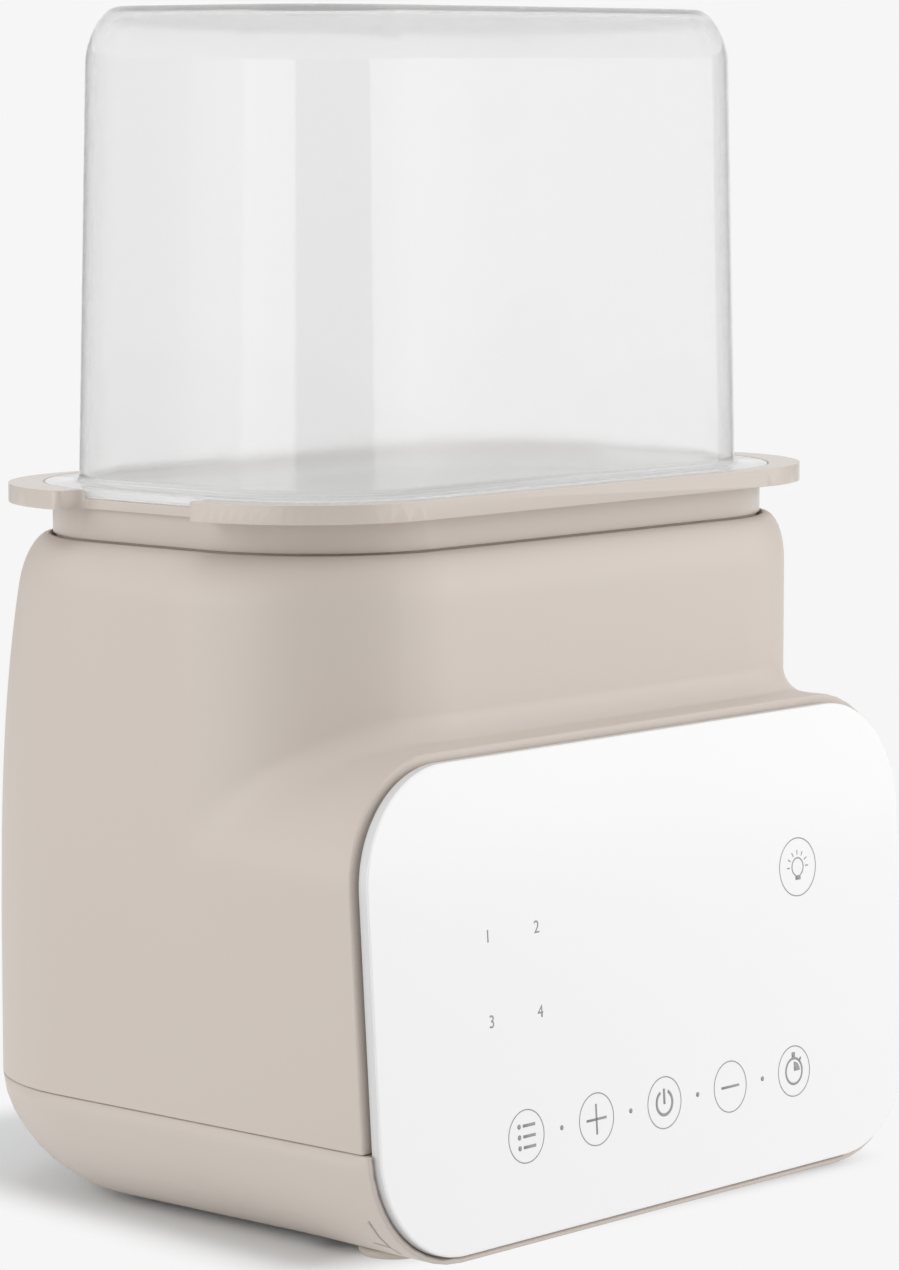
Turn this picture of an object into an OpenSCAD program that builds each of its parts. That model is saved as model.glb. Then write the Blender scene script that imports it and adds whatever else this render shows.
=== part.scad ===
// Twin bottle warmer and steam sterilizer: a moulded housing with a leaning touch console, a heated
// water tank, a bottle basket that lifts out by its ring, and a clear steam dome.

/* [Overall] */
// Width of the housing over its flat sides
body_w = 199; // [195:0.5:204]
// Depth from the panel's lower edge to the back wall
depth = 150.6; // [148:0.2:158]
// Height of the dome's top above the table
total_h = 285; // [265:1:305]
// Height of the housing's rim above the table
rim_z = 160.7; // [155:0.1:170]
// Height of the base's underside above the table
base_z = 1.2; // [1:0.1:2]
// Roundness of the base's lower edges at the sides and back, where 2 is a circle
base_curve = 1.7; // [1.6:0.05:2]
// Wall thickness of the housing and base
wall = 2.6; // [2.2:0.1:3]
// Gap that shows as the seam between the housing and the base
seam_gap = 0.4; // [0.2:0.1:0.8]
// Gap between a lift-off piece and its seat
seat_gap = 0.2; // [0.1:0.05:0.4]

/* [Upper body] */
// Plan radius of the upper body's corners
corner_r = 46.5; // [43:0.5:48]
// Height over which the shoulder rounds in to the rim
shoulder_h = 12; // [8:0.5:15]
// Width of the shoulder's rounding at the sides
side_step = 7.9; // [6.5:0.1:9.5]
// Width of the shoulder's rounding at the front
front_step = 4.3; // [3.4:0.1:5]
// Width of the shoulder's rounding at the back
back_step = 3.5; // [3:0.1:4.2]
// How far the back wall leans in at the rim
back_lean = 10.4; // [8:0.2:12]
// Height over which the back wall leans in
back_lean_h = 110; // [90:1:120]

/* [Console] */
// Height of the console's front outline
console_h = 116; // [111:0.5:120]
// Corner radius of the console's front outline
console_r = 29; // [27:0.5:31]
// Distance of the upper body's front wall behind the panel's lower edge
console_d = 19.8; // [19:0.1:21]
// Angle by which the console leans back
lean = 3.77; // [3:0.01:4.5]
// Rounding of the console's front edge
console_edge_r = 0.6; // [0.5:0.1:1.2]
// Hollow rounding between the console's top and the front wall
console_fillet = 7; // [5:0.2:8]
// How soon that rounding fades towards the sides
hollow_fade = 0.6; // [0.5:0.05:1]
// Width of the console's rim round the panel
panel_margin = 2; // [1.5:0.1:2.4]
// How far the touch panel's front stands out from the console's face
panel_t = 3.6; // [3.2:0.1:4]
// Thickness of the panel's backing, which leaves a shadow gap behind the panel's edge
backing_t = 1; // [0.6:0.1:1.2]
// How far the backing is set in from the panel's edge
backing_in = 2; // [1.5:0.1:4]
// Thickness of the adhesive behind the panel
glue_t = 0.1; // [0.05:0.05:0.2]
// Gap between the panel's edge and the base's lip
panel_gap = 0.5; // [0.4:0.1:0.8]
// How far the base's lip stands in front of the housing's face
lip_step = 1.6; // [1:0.1:2]

/* [Neck and ring] */
// Plan radius of the neck's corners
neck_r = 37; // [36:0.2:40]
// Gap between the neck and the housing's rim
neck_gap = 0.5; // [0.4:0.05:0.8]
// Height of the slot that shows between the neck's lower edge and the housing's rim
neck_slot = 0.45; // [0.3:0.05:0.6]
// How far the collar below the neck is set in
neck_step = 0.8; // [0.5:0.1:1]
// Width of the flat edge on top of the housing's rim
rim_lip = 0.8; // [0.6:0.1:1]
// Thickness of the neck's wall
collar_t = 2.2; // [1.8:0.1:2.6]
// How far the lifting ring stands out past the neck at its ends
ring_end = 9.4; // [8:0.1:11]
// How far the lifting ring stands out past the neck at its front and back
ring_side = 5.5; // [4.8:0.1:8]
// Plan radius of the ring's corners
ring_r = 37.4; // [34:0.2:42]
// Thickness of the lifting ring
ring_t = 4.4; // [4:0.1:5]
// Height of the ring's underside above the housing's rim
ring_lift = 7.9; // [6:0.1:10]
// Thickness of the ring's floor below the basket's flange
ring_floor_t = 1.3; // [1:0.1:1.6]
// Width of the notch in each end of the ring
notch_w = 42; // [30:1:44]
// Corner radius of the ring's notches
notch_r = 3; // [1:0.5:5]
// Rounding of the ring's tips beside the notches
notch_tip_r = 2; // [1:0.1:2]

/* [Dome] */
// Radius of the dome's corners at its foot
dome_r = 31; // [29:0.2:31.4]
// How much each of the dome's sides draws in from its foot to its top
dome_draft = 1.5; // [0.5:0.1:3]
// Wall thickness of the dome
dome_t = 2.4; // [1.8:0.1:2.8]
// Rounding of the dome's top edge
dome_top_r = 12.5; // [8:0.5:18]
// Rounding between the dome's wall and its rim
dome_foot_r = 2; // [1:0.1:3]
// Width of the dome's flat rim
dome_rim_w = 7.9; // [7.5:0.1:8.4]
// Gap round the dome's rim in the ring
dome_gap = 0.4; // [0.3:0.05:0.6]
// Depth of the skirt that centres the dome in the basket
skirt_h = 3.5; // [2:0.5:8]
// Thickness of the dome's skirt
skirt_t = 1.8; // [1.2:0.1:2]
// Diameter of each steam vent in the dome's top
vent_d = 4; // [2:0.5:5]
// Distance between the steam vents
vent_pitch = 12; // [8:1:20]

/* [Basket] */
// Thickness of the basket's walls
basket_t = 1.8; // [1.4:0.1:2.2]
// Thickness of the basket's flange on the ring's floor
basket_flange_t = 0.9; // [0.8:0.1:1.2]
// Gap between the basket and the neck
basket_gap = 0.3; // [0.3:0.05:0.5]
// How far the basket steps in below the neck
basket_step = 9.3; // [9:0.1:9.8]
// Height of the basket's step above the tank's flange
basket_step_lift = 2.6; // [2.4:0.1:4]
// Height of the basket's underside above the tank's floor
basket_lift = 8; // [6:0.5:12]
// How much each of the basket's sides draws in towards its floor
basket_draft = 0.6; // [0:0.1:0.8]
// Diameter of the drain holes in the basket's floor
drain_d = 6; // [4:0.5:8]
// Distance between the drain holes
drain_pitch = 17; // [15:0.5:20]

/* [Tank] */
// Room for the heater between the power board and the tank's floor
heater_room = 41.1; // [39.1:0.1:48]
// Thickness of the tank's wall
tank_t = 1.5; // [1:0.1:1.8]
// Thickness of the tank's heated floor
tank_floor_t = 2; // [1.5:0.1:3]
// Gap between the basket's side and the tank's wall
tank_gap = 2; // [1.6:0.1:2.4]
// Clearance of the ledge's screw bosses from the tank's wall
tank_clear = 0.5; // [0.4:0.05:0.6]
// Rounding of the tank's lower edge
tank_foot_r = 6; // [5:0.5:8]
// Height of the ledge that carries the tank, below the housing's rim
ledge_drop = 14.7; // [13:0.1:16]
// Thickness of the housing's ledge
ledge_t = 3; // [2.4:0.1:4]
// Thickness of the tank's gasket
seal_t = 1; // [0.6:0.1:1.5]
// Diameter of the tank's screws
tank_screw_d = 2.6; // [2:0.1:3]
// Length of the tank's screws below their heads
tank_screw_l = 9; // [7:0.5:11]
// Distance of the tank's screws from the ledge's edge
tank_screw_edge = 0.6; // [0.4:0.1:0.8]
// Length of the bosses below the ledge
tank_boss_l = 7; // [6.5:0.5:9]
// Diameter of the bosses for the tank's and the boards' screws
boss_d = 7; // [6.4:0.1:7.4]

/* [Heater] */
// Diameter of the heating tube
heater_d = 8; // [6:0.5:9]
// Distance between the heating tube's two runs
heater_span = 44; // [38:1:50]
// Length of the heating tube's straight runs
heater_run = 84; // [70:1:90]
// Radius of the heating tube's bends down to its ends
heater_bend_r = 8; // [7:0.5:9]
// Length of the heater's end pins
heater_pin_l = 6; // [5:0.5:8]
// Diameter of the heater's end pins
heater_pin_d = 3; // [2:0.2:4]
// Outside diameter of the leads' sleeves
lead_d = 5; // [4.5:0.1:6]
// Width of the two clamps below the heating tube
clamp_w = 12; // [8:1:16]
// Thickness of the clamps
clamp_t = 1.5; // [1:0.1:2]
// Distance between the two clamps
clamp_pitch = 56; // [48:1:62]
// Diameter of the clamps' studs
stud_d = 5; // [4:0.5:6]
// Diameter of the thermostat's body
thermostat_d = 18; // [14:1:22]
// Height of the thermostat's body
thermostat_h = 12; // [9:0.5:14]
// Diameter of the temperature sensor
sensor_d = 6; // [4:0.5:8]
// Length of the temperature sensor
sensor_h = 10; // [8:0.5:12]
// Diameter of the thermal fuse
fuse_d = 4; // [3:0.2:5]
// Length of the thermal fuse
fuse_l = 14; // [10:0.5:18]

/* [Control board] */
// Distance of the control board from the panel's sides
board_side = 29.5; // [28.5:0.5:31.5]
// Distance of the control board below the panel's upper edge
board_top = 28.2; // [26.2:0.1:30.2]
// Thickness of both circuit boards
board_t = 1.6; // [1:0.1:2]
// Height of the control board's lower edge above the panel's
board_low = 12; // [10:0.5:14]
// Distance of the control board's screws from its edges
board_inset = 4.5; // [4:0.1:5]
// Height of the control board's lower screws above its lower edge
board_screw_up = 24; // [23:0.5:26]
// Length of the bosses behind the console's face
standoff = 2.2; // [2:0.1:3]
// Distance between the touch keys
key_pitch = 25; // [23:0.5:26]
// Distance of the row of touch keys right of the panel's middle
key_x = 1.4; // [0:0.1:2]
// Height of the touch keys above the panel's lower edge
key_up = 23.8; // [22:0.1:25]
// Diameter of the touch pads
pad_d = 10; // [8:0.5:11]
// Distance of the lamp key from the panel's right side
lamp_side = 41.5; // [40.5:0.5:43.5]
// Distance of the lamp key below the panel's upper edge
lamp_down = 38.7; // [37.2:0.1:40.2]
// Height of the display and of the mode lights above the panel's lower edge
lights_up = 61; // [60:0.5:62]
// Distance of the display right of the panel's middle
display_x = 12.5; // [11:0.5:14]
// Width of the display module
display_w = 50; // [40:1:54]
// Height of the display module
display_h = 19; // [14:0.5:24]
// Distance of the mode lights from the panel's left side
mode_side = 52; // [50.5:0.5:52.5]
// Distance between the mode lights across the panel
mode_pitch_x = 18; // [16:0.5:20]
// Distance between the mode lights up the panel
mode_pitch_y = 20; // [18:0.5:22]
// Size of each mode light's square box
mode_box = 8; // [6:0.5:10]
// Clearance round the parts that reach through the console's face
window_gap = 1; // [0.5:0.1:1.5]
// Diameter of the buzzer
buzzer_d = 12; // [9:0.5:14]
// Height of the buzzer
buzzer_h = 7; // [5:0.5:8]
// Diameter of the control board's screws
board_screw_d = 2.4; // [2:0.1:2.6]
// Width of the ribbon cable
ribbon_w = 20; // [12:1:26]

/* [Power board] */
// Width of the power board
power_w = 116; // [112:1:120]
// Depth of the power board
power_d = 64; // [60:1:68]
// Height of the power board above the base's floor
power_lift = 9.5; // [7:0.5:11]
// Distance of the power board's screws from its edges
power_inset = 4; // [3.6:0.1:4.5]
// Width of the transformer
transformer_w = 30; // [24:1:34]
// Depth of the transformer
transformer_d = 26; // [22:1:28]
// Height of the transformer
transformer_h = 23; // [18:0.5:24]
// Length of the relay
relay_l = 20; // [16:0.5:22]
// Width of the relay
relay_w = 15; // [12:0.5:16]
// Height of the relay
relay_h = 16; // [12:0.5:18]
// Diameter of the filter capacitor
capacitor_d = 16; // [12:0.5:18]
// Height of the filter capacitor
capacitor_h = 22; // [16:0.5:23]
// Length of the mains terminal block
terminal_l = 22; // [18:0.5:24]
// Width of the mains terminal block
terminal_w = 12; // [10:0.5:14]
// Height of the mains terminal block
terminal_h = 14; // [11:0.5:16]

/* [Base fittings] */
// Diameter of the rubber feet
foot_d = 16; // [12:0.5:17]
// Depth of the feet's pockets in the base
foot_pocket = 0.8; // [0.5:0.1:1.2]
// Distance of the front feet from the housing's sides
foot_side = 30; // [29:0.5:37]
// Distance of the rear feet from the housing's sides
foot_back_side = 39.5; // [38:0.5:46]
// Distance of the front feet behind the panel's lower edge
foot_front = 23.7; // [23.3:0.1:26]
// Distance of the rear feet in front of the back wall
foot_back = 41.3; // [40:0.1:45]
// Diameter of the screws that hold the base
base_screw_d = 3.2; // [2.8:0.1:3.6]
// Depth of the base screws' bite in the housing
base_screw_bite = 10; // [8:0.5:12]
// Depth of the base screws' seats below the seam
base_screw_seat = 8; // [6:0.5:10]
// Distance of the front screw posts from the housing's sides
post_front_side = 27.5; // [26.5:0.5:28.5]
// Distance of the front screw posts behind the panel's lower edge
post_front_in = 39.3; // [38.3:0.1:41]
// Distance of the rear screw posts from the housing's sides
post_back_side = 39.5; // [37.5:0.5:43]
// Distance of the rear screw posts in front of the back wall
post_back_in = 28; // [27:0.1:29]
// Outside diameter of the screw posts
post_d = 9; // [8.4:0.1:9.6]
// Height of the base's tongue inside the housing
tongue_h = 3; // [2:0.1:3.4]
// Thickness of the base's tongue
tongue_t = 1.4; // [1:0.1:1.8]
// Gap between the tongue and the housing's wall
tongue_gap = 0.3; // [0.2:0.05:0.5]
// Distance of the base's latch slots behind the panel's lower edge
latch_in = 8.3; // [7:0.1:10]
// Width and depth of the latch slots
latch_w = 0.8; // [0.4:0.1:1]
// Length of the latch slots' short arms
latch_l = 5; // [3:0.5:6]
// Bore of the gland for the mains lead
gland_bore_d = 6.4; // [5:0.1:7]
// Diameter of the gland's barrel
gland_d = 12; // [10.5:0.1:13]
// Diameter of the gland's flange
gland_flange_d = 16; // [15:0.2:17]
// Thickness of the gland's flange
gland_flange_t = 1.7; // [1.4:0.1:2]
// Width of the housing's thick rim round the gland
gland_rim = 2; // [1.5:0.1:2.4]
// Length of the gland inside its flange
gland_l = 12; // [9:0.5:13]
// Distance of the gland from the middle of the back
gland_x = 36; // [30:0.5:40]
// Height of the gland above the seam
gland_up = 14; // [13.5:0.1:17]

/* [Hidden] */
$fn = 64;

beige = "#cfc5bb";
clear_tint = [0.9, 0.92, 0.93, 0.4];
board_green = "#2f6b4a";
steel = "#b9bcc0";

// Points along the outline's back corners, its front corners and the console's edge, and steps up the body
n_corner = 12;
n_path = 21;
n_edge = 3;
n_turn = 10;

// Clearance of a screw in its hole, and the width, height, edge and cross slot of a screw's head
screw_gap = 0.1;
head_ratio = 1.9;
head_h = 1.8;
head_edge = 0.4;
head_slot = 0.6;

console_top = base_z + console_h;
seam_z = base_z + console_r;
corner_z = console_top - console_r;
opening_r = neck_r + neck_gap;
rim_r = opening_r + rim_lip;
front_wall_y = console_d - depth / 2;
core_w = body_w - 2 * side_step - 2 * rim_r;
core_d = depth - console_d - front_step - back_step - back_lean - 2 * rim_r;
well_y = front_wall_y + front_step + rim_r + core_d / 2;
ring_w = core_w + 2 * neck_r + 2 * ring_end;
ring_d = core_d + 2 * neck_r + 2 * ring_side;

panel_w = body_w - 2 * panel_margin;
panel_r = console_r - panel_margin;
panel_z = base_z + panel_margin;
panel_h = (console_h - 2 * panel_margin) / cos(lean);
face_in = panel_t + wall;
board_in = face_in + standoff;

ledge_z = rim_z - ledge_drop;
flange_z = ledge_z + seal_t;
flange_top = flange_z + tank_t;
collar_z = flange_top + seat_gap;
ring_z = rim_z + ring_lift;
ring_top = ring_z + ring_t;
ring_floor_z = ring_z + ring_floor_t;
basket_flange_z = ring_floor_z + basket_flange_t;
dome_z = basket_flange_z + seat_gap;
dome_rim_r = dome_r + dome_rim_w;
recess_r = dome_rim_r + dome_gap;
basket_r = neck_r - collar_t - basket_gap;
basket_low_r = basket_r - basket_step;
tank_r = basket_low_r + tank_gap;
tank_out_r = tank_r + tank_t;
flange_r = neck_r - neck_gap;
ledge_r = tank_out_r + 2 * tank_clear;
power_z = base_z + wall + power_lift;
power_top = power_z + board_t;
heat_z = power_top + heater_room;
tank_floor_z = heat_z + tank_floor_t;
tank_depth = flange_z - tank_floor_z;
basket_z = tank_floor_z + basket_lift;
basket_step_z = flange_top + basket_step_lift;
tank_screw_r = ledge_r + tank_screw_d / 2 + tank_screw_edge;

heater_z = heat_z - heater_d / 2;
heater_end_x = heater_run / 2 + heater_bend_r;
pin_z = heater_z - heater_bend_r - heater_pin_l;
power_hole_x = power_w / 2 - power_inset;
power_hole_y = power_d / 2 - power_inset;

board_w = panel_w - 2 * board_side;
board_h = panel_h - board_low - board_top;
lamp_x = panel_w / 2 - lamp_side;
lamp_up = panel_h - lamp_down;
mode_x = panel_w / 2 - mode_side;
board_hole_x = board_w / 2 - board_inset;
board_holes_y = [board_low + board_screw_up, board_low + board_h - board_inset];
key_window_h = pad_d + 2 * window_gap;
post_front = [body_w / 2 - post_front_side, post_front_in - depth / 2];
post_back = [body_w / 2 - post_back_side, depth / 2 - post_back_in];
well_d = post_d - 2;
well_top = seam_z - base_screw_seat;

// Face of the leaning console at height z, k behind the panel's front
function plane_y(z, k) = (z - panel_z) * tan(lean) - depth / 2 + k / cos(lean);

// Share of the shoulder's inset at height z: all of it at the rim, none below the shoulder
function shoulder(z) = let (k = max(0, 1 - (rim_z - z) / shoulder_h)) 1 - sqrt(max(0, 1 - k * k));

// Inset of a skin that lies d inside the outer one, with the rounding of the bottom edges
function bottom_in(z, d) =
    let (k = pow(console_r - d, base_curve) - pow(max(0, seam_z - z), base_curve))
    console_r - pow(max(0, k), 1 / base_curve);

// Side, back and front walls and plan corners of the upper body at height z
function side_x(z, d) = body_w / 2 - bottom_in(z, d) - side_step * shoulder(z);
function back_y(z, d) =
    let (k = max(0, 1 - (rim_z - z) / back_lean_h))
    depth / 2 - bottom_in(z, d) - back_lean * pow(k, 3) - back_step * shoulder(z);
function front_y(z, d) = front_wall_y + d + front_step * shoulder(z);
function corner(z, d) = corner_r - bottom_in(z, d) - (corner_r - rim_r) * shoulder(z);

// Half the width of the console's front outline at height z
function console_half(z, d) =
    let (k = max(0, z - console_top + console_r, seam_z - z))
    body_w / 2 - console_r + sqrt(max(0, pow(console_r - d, 2) - k * k));

// Distance outside the console's front outline at x and height z
function console_off(x, z) =
    let (p = x - body_w / 2 + console_r, q = z - console_top + console_r)
    norm([max(0, p), max(0, q)]) + min(0, max(p, q)) - console_r;

// Size of the hollow rounding at angle t round the body's corner, which fades where the two skins run on
function hollow(t, x, z) =
    let (p = x - body_w / 2 + console_r, q = max(0, z - console_top + console_r))
    console_fillet * pow(max(0, 1 - (p > 0 ? cos(t) * p / norm([p, q]) : 0)), hollow_fade);

// Height over the skin that joins the body and the console, at s from the corner's centre and angle t
function above_skin(s, t, z) =
    let (x = side_x(z, 0) - corner(z, 0) + s * cos(t), r = hollow(t, x, z),
        body = s - corner(z, 0), console = console_off(x, z))
    max(r, min(body, console)) - norm([max(0, r - body), max(0, r - console)]);

// Distance from the corner's centre, between low and high, of the skin that lies d inside
function reach(t, z, d, low, high, n) =
    let (s = (low + high) / 2)
    n == 0 ? s : above_skin(s, t, z) + d > 0 ? reach(t, z, d, low, s, n - 1) : reach(t, z, d, s, high, n - 1);

function arc(cx, cy, r, from, to, n) =
    [for (i = [0:n]) let (t = from + (to - from) * i / n) [cx + r * cos(t), cy + r * sin(t)]];

// Angles round a front corner, closer together towards the last
function turns(last) = [for (i = [0:n_path - 1]) last * (1 - pow(1 - i / n_path, 1.4))];

// Points of the front corner at the given angles
function blended(z, d, angles) =
    let (r = corner(z, 0), ax = side_x(z, 0) - r, ay = front_y(z, 0) + r)
    [for (t = angles)
        let (s = z > console_top + console_fillet ? r - d : reach(t, z, d, r - d, r + depth / 2, 24))
        [ax + s * cos(t), ay - s * sin(t)]];

// Rounded edge of the console at height z, whose front face lies at y
function front_edge(z, d, y) =
    let (h = max(console_edge_r / 10, min(console_top - d - z, z - base_z - d)),
        low = asin(max(0, 1 - h / console_edge_r)))
    [for (i = [0:n_edge])
        let (t = 90 + (low - 90) * i / n_edge)
        [console_half(z, d + console_edge_r * (1 - sin(t))), y + console_edge_r * (1 - cos(t))]];

// Back corner of an outline
function back_arc(z, d) =
    let (r = corner(z, d)) arc(side_x(z, d) - r, back_y(z, d) - r, r, 90, 0, n_corner);

// Angle at which the console's edge is seen from the centre of the body's corner
function edge_turn(z, d, y) =
    let (r = corner(z, 0))
    atan2(front_y(z, 0) + r - y - console_edge_r, console_half(z, d) - side_x(z, 0) + r);

// Half outlines of the housing and of the base, from the back to the front face at y
function housing_half(z, d, y) =
    concat(back_arc(z, d), blended(z, d, turns(edge_turn(z, d, y))), front_edge(z, d, y));
function tray_half(z, d, y) =
    let (from = [side_x(z, d), front_y(z, d) + corner(z, d)], to = [console_half(z, d), y + console_edge_r])
    concat(back_arc(z, d), [for (i = [0:n_path - 1]) from + (to - from) * i / n_path], front_edge(z, d, y));

// Angles round the front corners above the console
top_turn = 88;
top_z = corner_z + console_r * sin(top_turn);
front_start = edge_turn(top_z, 0, plane_y(top_z, panel_t));
front_turns = concat(turns(front_start),
    [for (i = [0:n_edge]) front_start + (90 - front_start) * i / n_edge]);

// Closed outline at height z from its half
function section(z, half) =
    concat([for (p = half) [p.x, p.y, z]], [for (i = [len(half) - 1:-1:0]) [-half[i].x, half[i].y, z]]);

// Skin of the housing at height z, and of the rounded openings about the well
function housing_section(z, d) =
    section(z, z < console_top - d ? housing_half(z, d, plane_y(z, panel_t + d))
        : concat(back_arc(z, d), blended(z, d, front_turns)));
function well_section(z, r) =
    section(z, concat(arc(core_w / 2, well_y + core_d / 2, r, 90, 0, n_corner),
        [for (t = front_turns) [core_w / 2 + r * cos(t), well_y - core_d / 2 - r * sin(t)]]));

// Solid through a list of sections: a ring where the last one meets the first, or closed at its ends
module loft(sections, is_ring) {
    m = len(sections[0]);
    n = len(sections);
    skin = [for (i = [0:is_ring ? n - 1 : n - 2], j = [0:m - 1])
        let (k = (i + 1) % n, l = (j + 1) % m, a = i * m + j, b = i * m + l, c = k * m + j, e = k * m + l)
        each j < m / 2 ? [[a, b, e], [a, e, c]] : [[a, b, c], [b, e, c]]];
    ends = [for (i = [0, n - 1], j = [0:m / 2 - 2])
        let (a = i * m + j, b = a + 1, c = i * m + m - 1 - j, e = c - 1)
        each i == 0 ? [[a, c, b], [b, c, e]] : [[a, b, c], [b, e, c]]];
    polyhedron([for (s = sections) each s], is_ring ? skin : concat(skin, ends));
}

// Flat rounded rectangle, made of straight bars and round corners
module rounded(w, d, r) {
    square([w - 2 * r, d], center = true);
    square([w, d - 2 * r], center = true);
    for (x = [-1, 1], y = [-1, 1])
        translate([x * (w / 2 - r), y * (d / 2 - r)]) circle(r);
}

// Rounded rectangle of corner radius r about the well
module well_shape(r) {
    translate([0, well_y]) rounded(core_w + 2 * r, core_d + 2 * r, r);
}

// Sweeps a profile of distance from the corner's centre and height round the well
module round_well() {
    translate([0, well_y, 0])
        for (q = [0:3]) {
            run = q % 2 == 0 ? core_d : core_w;
            out = q % 2 == 0 ? core_w : core_d;
            rotate([0, 0, 90 * q]) {
                translate([out / 2, run / 2, 0]) rotate([90, 0, 0]) linear_extrude(run) children();
                translate([out / 2, run / 2, 0]) rotate_extrude(angle = 90) children();
            }
        }
}

// Flat middle of a swept tub or dome
module well_middle(z, t) {
    translate([-core_w / 2, well_y - core_d / 2, z]) cube([core_w, core_d, t]);
}

// Places a piece on the leaning panel: x across, y up the panel, z out of its front
module on_panel() {
    translate([0, -depth / 2, panel_z]) rotate([90 - lean, 0, 0]) children();
}

// The four places where the tank is screwed to the ledge
module at_tank_screws() {
    for (x = [-1, 1], y = [-1, 1])
        translate([x * (core_w / 2 + tank_screw_r * cos(45)),
            well_y + y * (core_d / 2 + tank_screw_r * sin(45)), 0]) children();
}

module at_base_screws() {
    for (p = [post_front, post_back], x = [-1, 1])
        translate([x * p.x, p.y, 0]) children();
}

module at_board_screws() {
    for (x = [-1, 1], y = board_holes_y)
        translate([x * board_hole_x, y, 0]) children();
}

module at_power_screws() {
    for (x = [-1, 1], y = [-1, 1])
        translate([x * power_hole_x, well_y + y * power_hole_y, 0]) children();
}

module at_feet() {
    front = [body_w / 2 - foot_side, foot_front - depth / 2];
    back = [body_w / 2 - foot_back_side, depth / 2 - foot_back];
    for (p = [front, back], x = [-1, 1])
        translate([x * p.x, p.y, 0]) children();
}

// Places of the row of touch keys and of the lamp key
module at_keys() {
    for (i = [-2:2])
        translate([key_x + i * key_pitch, key_up, 0]) children();
    translate([lamp_x, lamp_up, 0]) children();
}

// Cutter for a screw's clearance hole, from a height up
module screw_hole(d, from, h) {
    translate([0, 0, from]) cylinder(d = d + 2 * screw_gap, h = h, $fn = 32);
}

// Pan-head screw, head up, whose head rests at z = 0
module screw(d, length) {
    translate([0, 0, -length]) cylinder(d = d, h = length, $fn = 32);
    difference() {
        cylinder(d1 = d * head_ratio, d2 = d * head_ratio - 2 * head_edge, h = head_h, $fn = 32);
        for (a = [0, 90])
            rotate([0, 0, a]) translate([-d / 2, -head_slot / 2, head_h / 2]) cube([d, head_slot, head_h]);
    }
}

// Moulded shell: skin, rim, ledge for the tank and inner skin in one run of sections, with bosses and windows
module main_housing() {
    outer = concat(
        [for (i = [0:2]) seam_z + seam_gap / 2 + (corner_z - seam_z - seam_gap / 2) * i / 3],
        [for (i = [0:n_turn]) corner_z + console_r * sin(top_turn * i / n_turn)],
        [for (i = [2:n_turn - 2]) console_top + console_fillet * (1 - cos(90 * i / (n_turn - 2)))],
        [for (i = [1:4]) console_top + console_fillet
            + (rim_z - shoulder_h - console_top - console_fillet) * i / 4],
        [for (i = [1:n_turn - 2]) rim_z - shoulder_h * (1 - sin(90 * i / (n_turn - 2)))]);
    inner = concat(
        [ledge_z - ledge_t, (ledge_z - ledge_t + console_top + console_fillet) / 2],
        [for (t = [90, 65, 40]) console_top + console_fillet - (console_fillet + wall) * cos(t)],
        [for (t = [80:-20:0]) corner_z + (console_r - wall) * sin(t)],
        [(corner_z + seam_z) / 2, seam_z + seam_gap / 2]);
    color(beige) difference() {
        union() {
            loft(concat([for (z = outer) housing_section(z, 0)],
                [well_section(rim_z, opening_r), well_section(ledge_z, opening_r),
                    well_section(ledge_z, ledge_r), well_section(ledge_z - ledge_t, ledge_r)],
                [for (z = inner) housing_section(z, wall)]), true);
            housing_bosses();
        }
        on_panel() housing_windows();
        at_tank_screws()
            screw_hole(tank_screw_d, ledge_z - ledge_t - tank_boss_l - 1, ledge_t + tank_boss_l + 2);
        at_base_screws()
            screw_hole(base_screw_d, seam_z - 1, base_screw_bite + 2);
        on_panel() at_board_screws()
            screw_hole(board_screw_d, -board_in - 1, standoff + wall / 2 + 1);
        translate([gland_x, depth / 2 + 1, seam_z + gland_up]) rotate([90, 0, 0]) {
            cylinder(d = gland_d + 2 * screw_gap, h = 3 * wall);
            cylinder(d = gland_flange_d + 2 * screw_gap, h = gland_flange_t + screw_gap + 1);
        }
    }
}

// Screw bosses and webs inside the housing
module housing_bosses() {
    web_z = seam_z + tongue_h + 1;
    web_h = base_screw_bite - 1;
    cap_t = 3;
    bite_in = 0.5;
    difference() {
        at_tank_screws()
            translate([0, 0, ledge_z - ledge_t - tank_boss_l])
                cylinder(d = boss_d, h = tank_boss_l + ledge_t / 2, $fn = 32);
        translate([0, 0, heat_z]) linear_extrude(tank_depth + tank_floor_t)
            well_shape(tank_out_r + tank_clear);
    }
    at_base_screws() translate([0, 0, seam_z]) cylinder(d = post_d, h = base_screw_bite + cap_t, $fn = 32);
    for (x = [-1, 1]) {
        translate([x * post_back.x - wall / 2, post_back.y + post_d / 2 - bite_in, web_z])
            cube([wall, depth / 2 - wall / 2 - post_back.y - post_d / 2 + bite_in, web_h]);
        translate([x * post_front.x - wall / 2, plane_y(web_z + web_h, face_in - wall / 2), web_z])
            cube([wall, post_front.y - plane_y(web_z + web_h, face_in - wall / 2), web_h]);
    }
    on_panel() at_board_screws()
        translate([0, 0, -board_in]) cylinder(d = boss_d, h = standoff + wall / 2, $fn = 32);
    translate([gland_x, depth / 2 - wall / 2, seam_z + gland_up]) rotate([90, 0, 0])
        cylinder(d = gland_flange_d + 2 * gland_rim, h = wall * 1.5);
}

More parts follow.
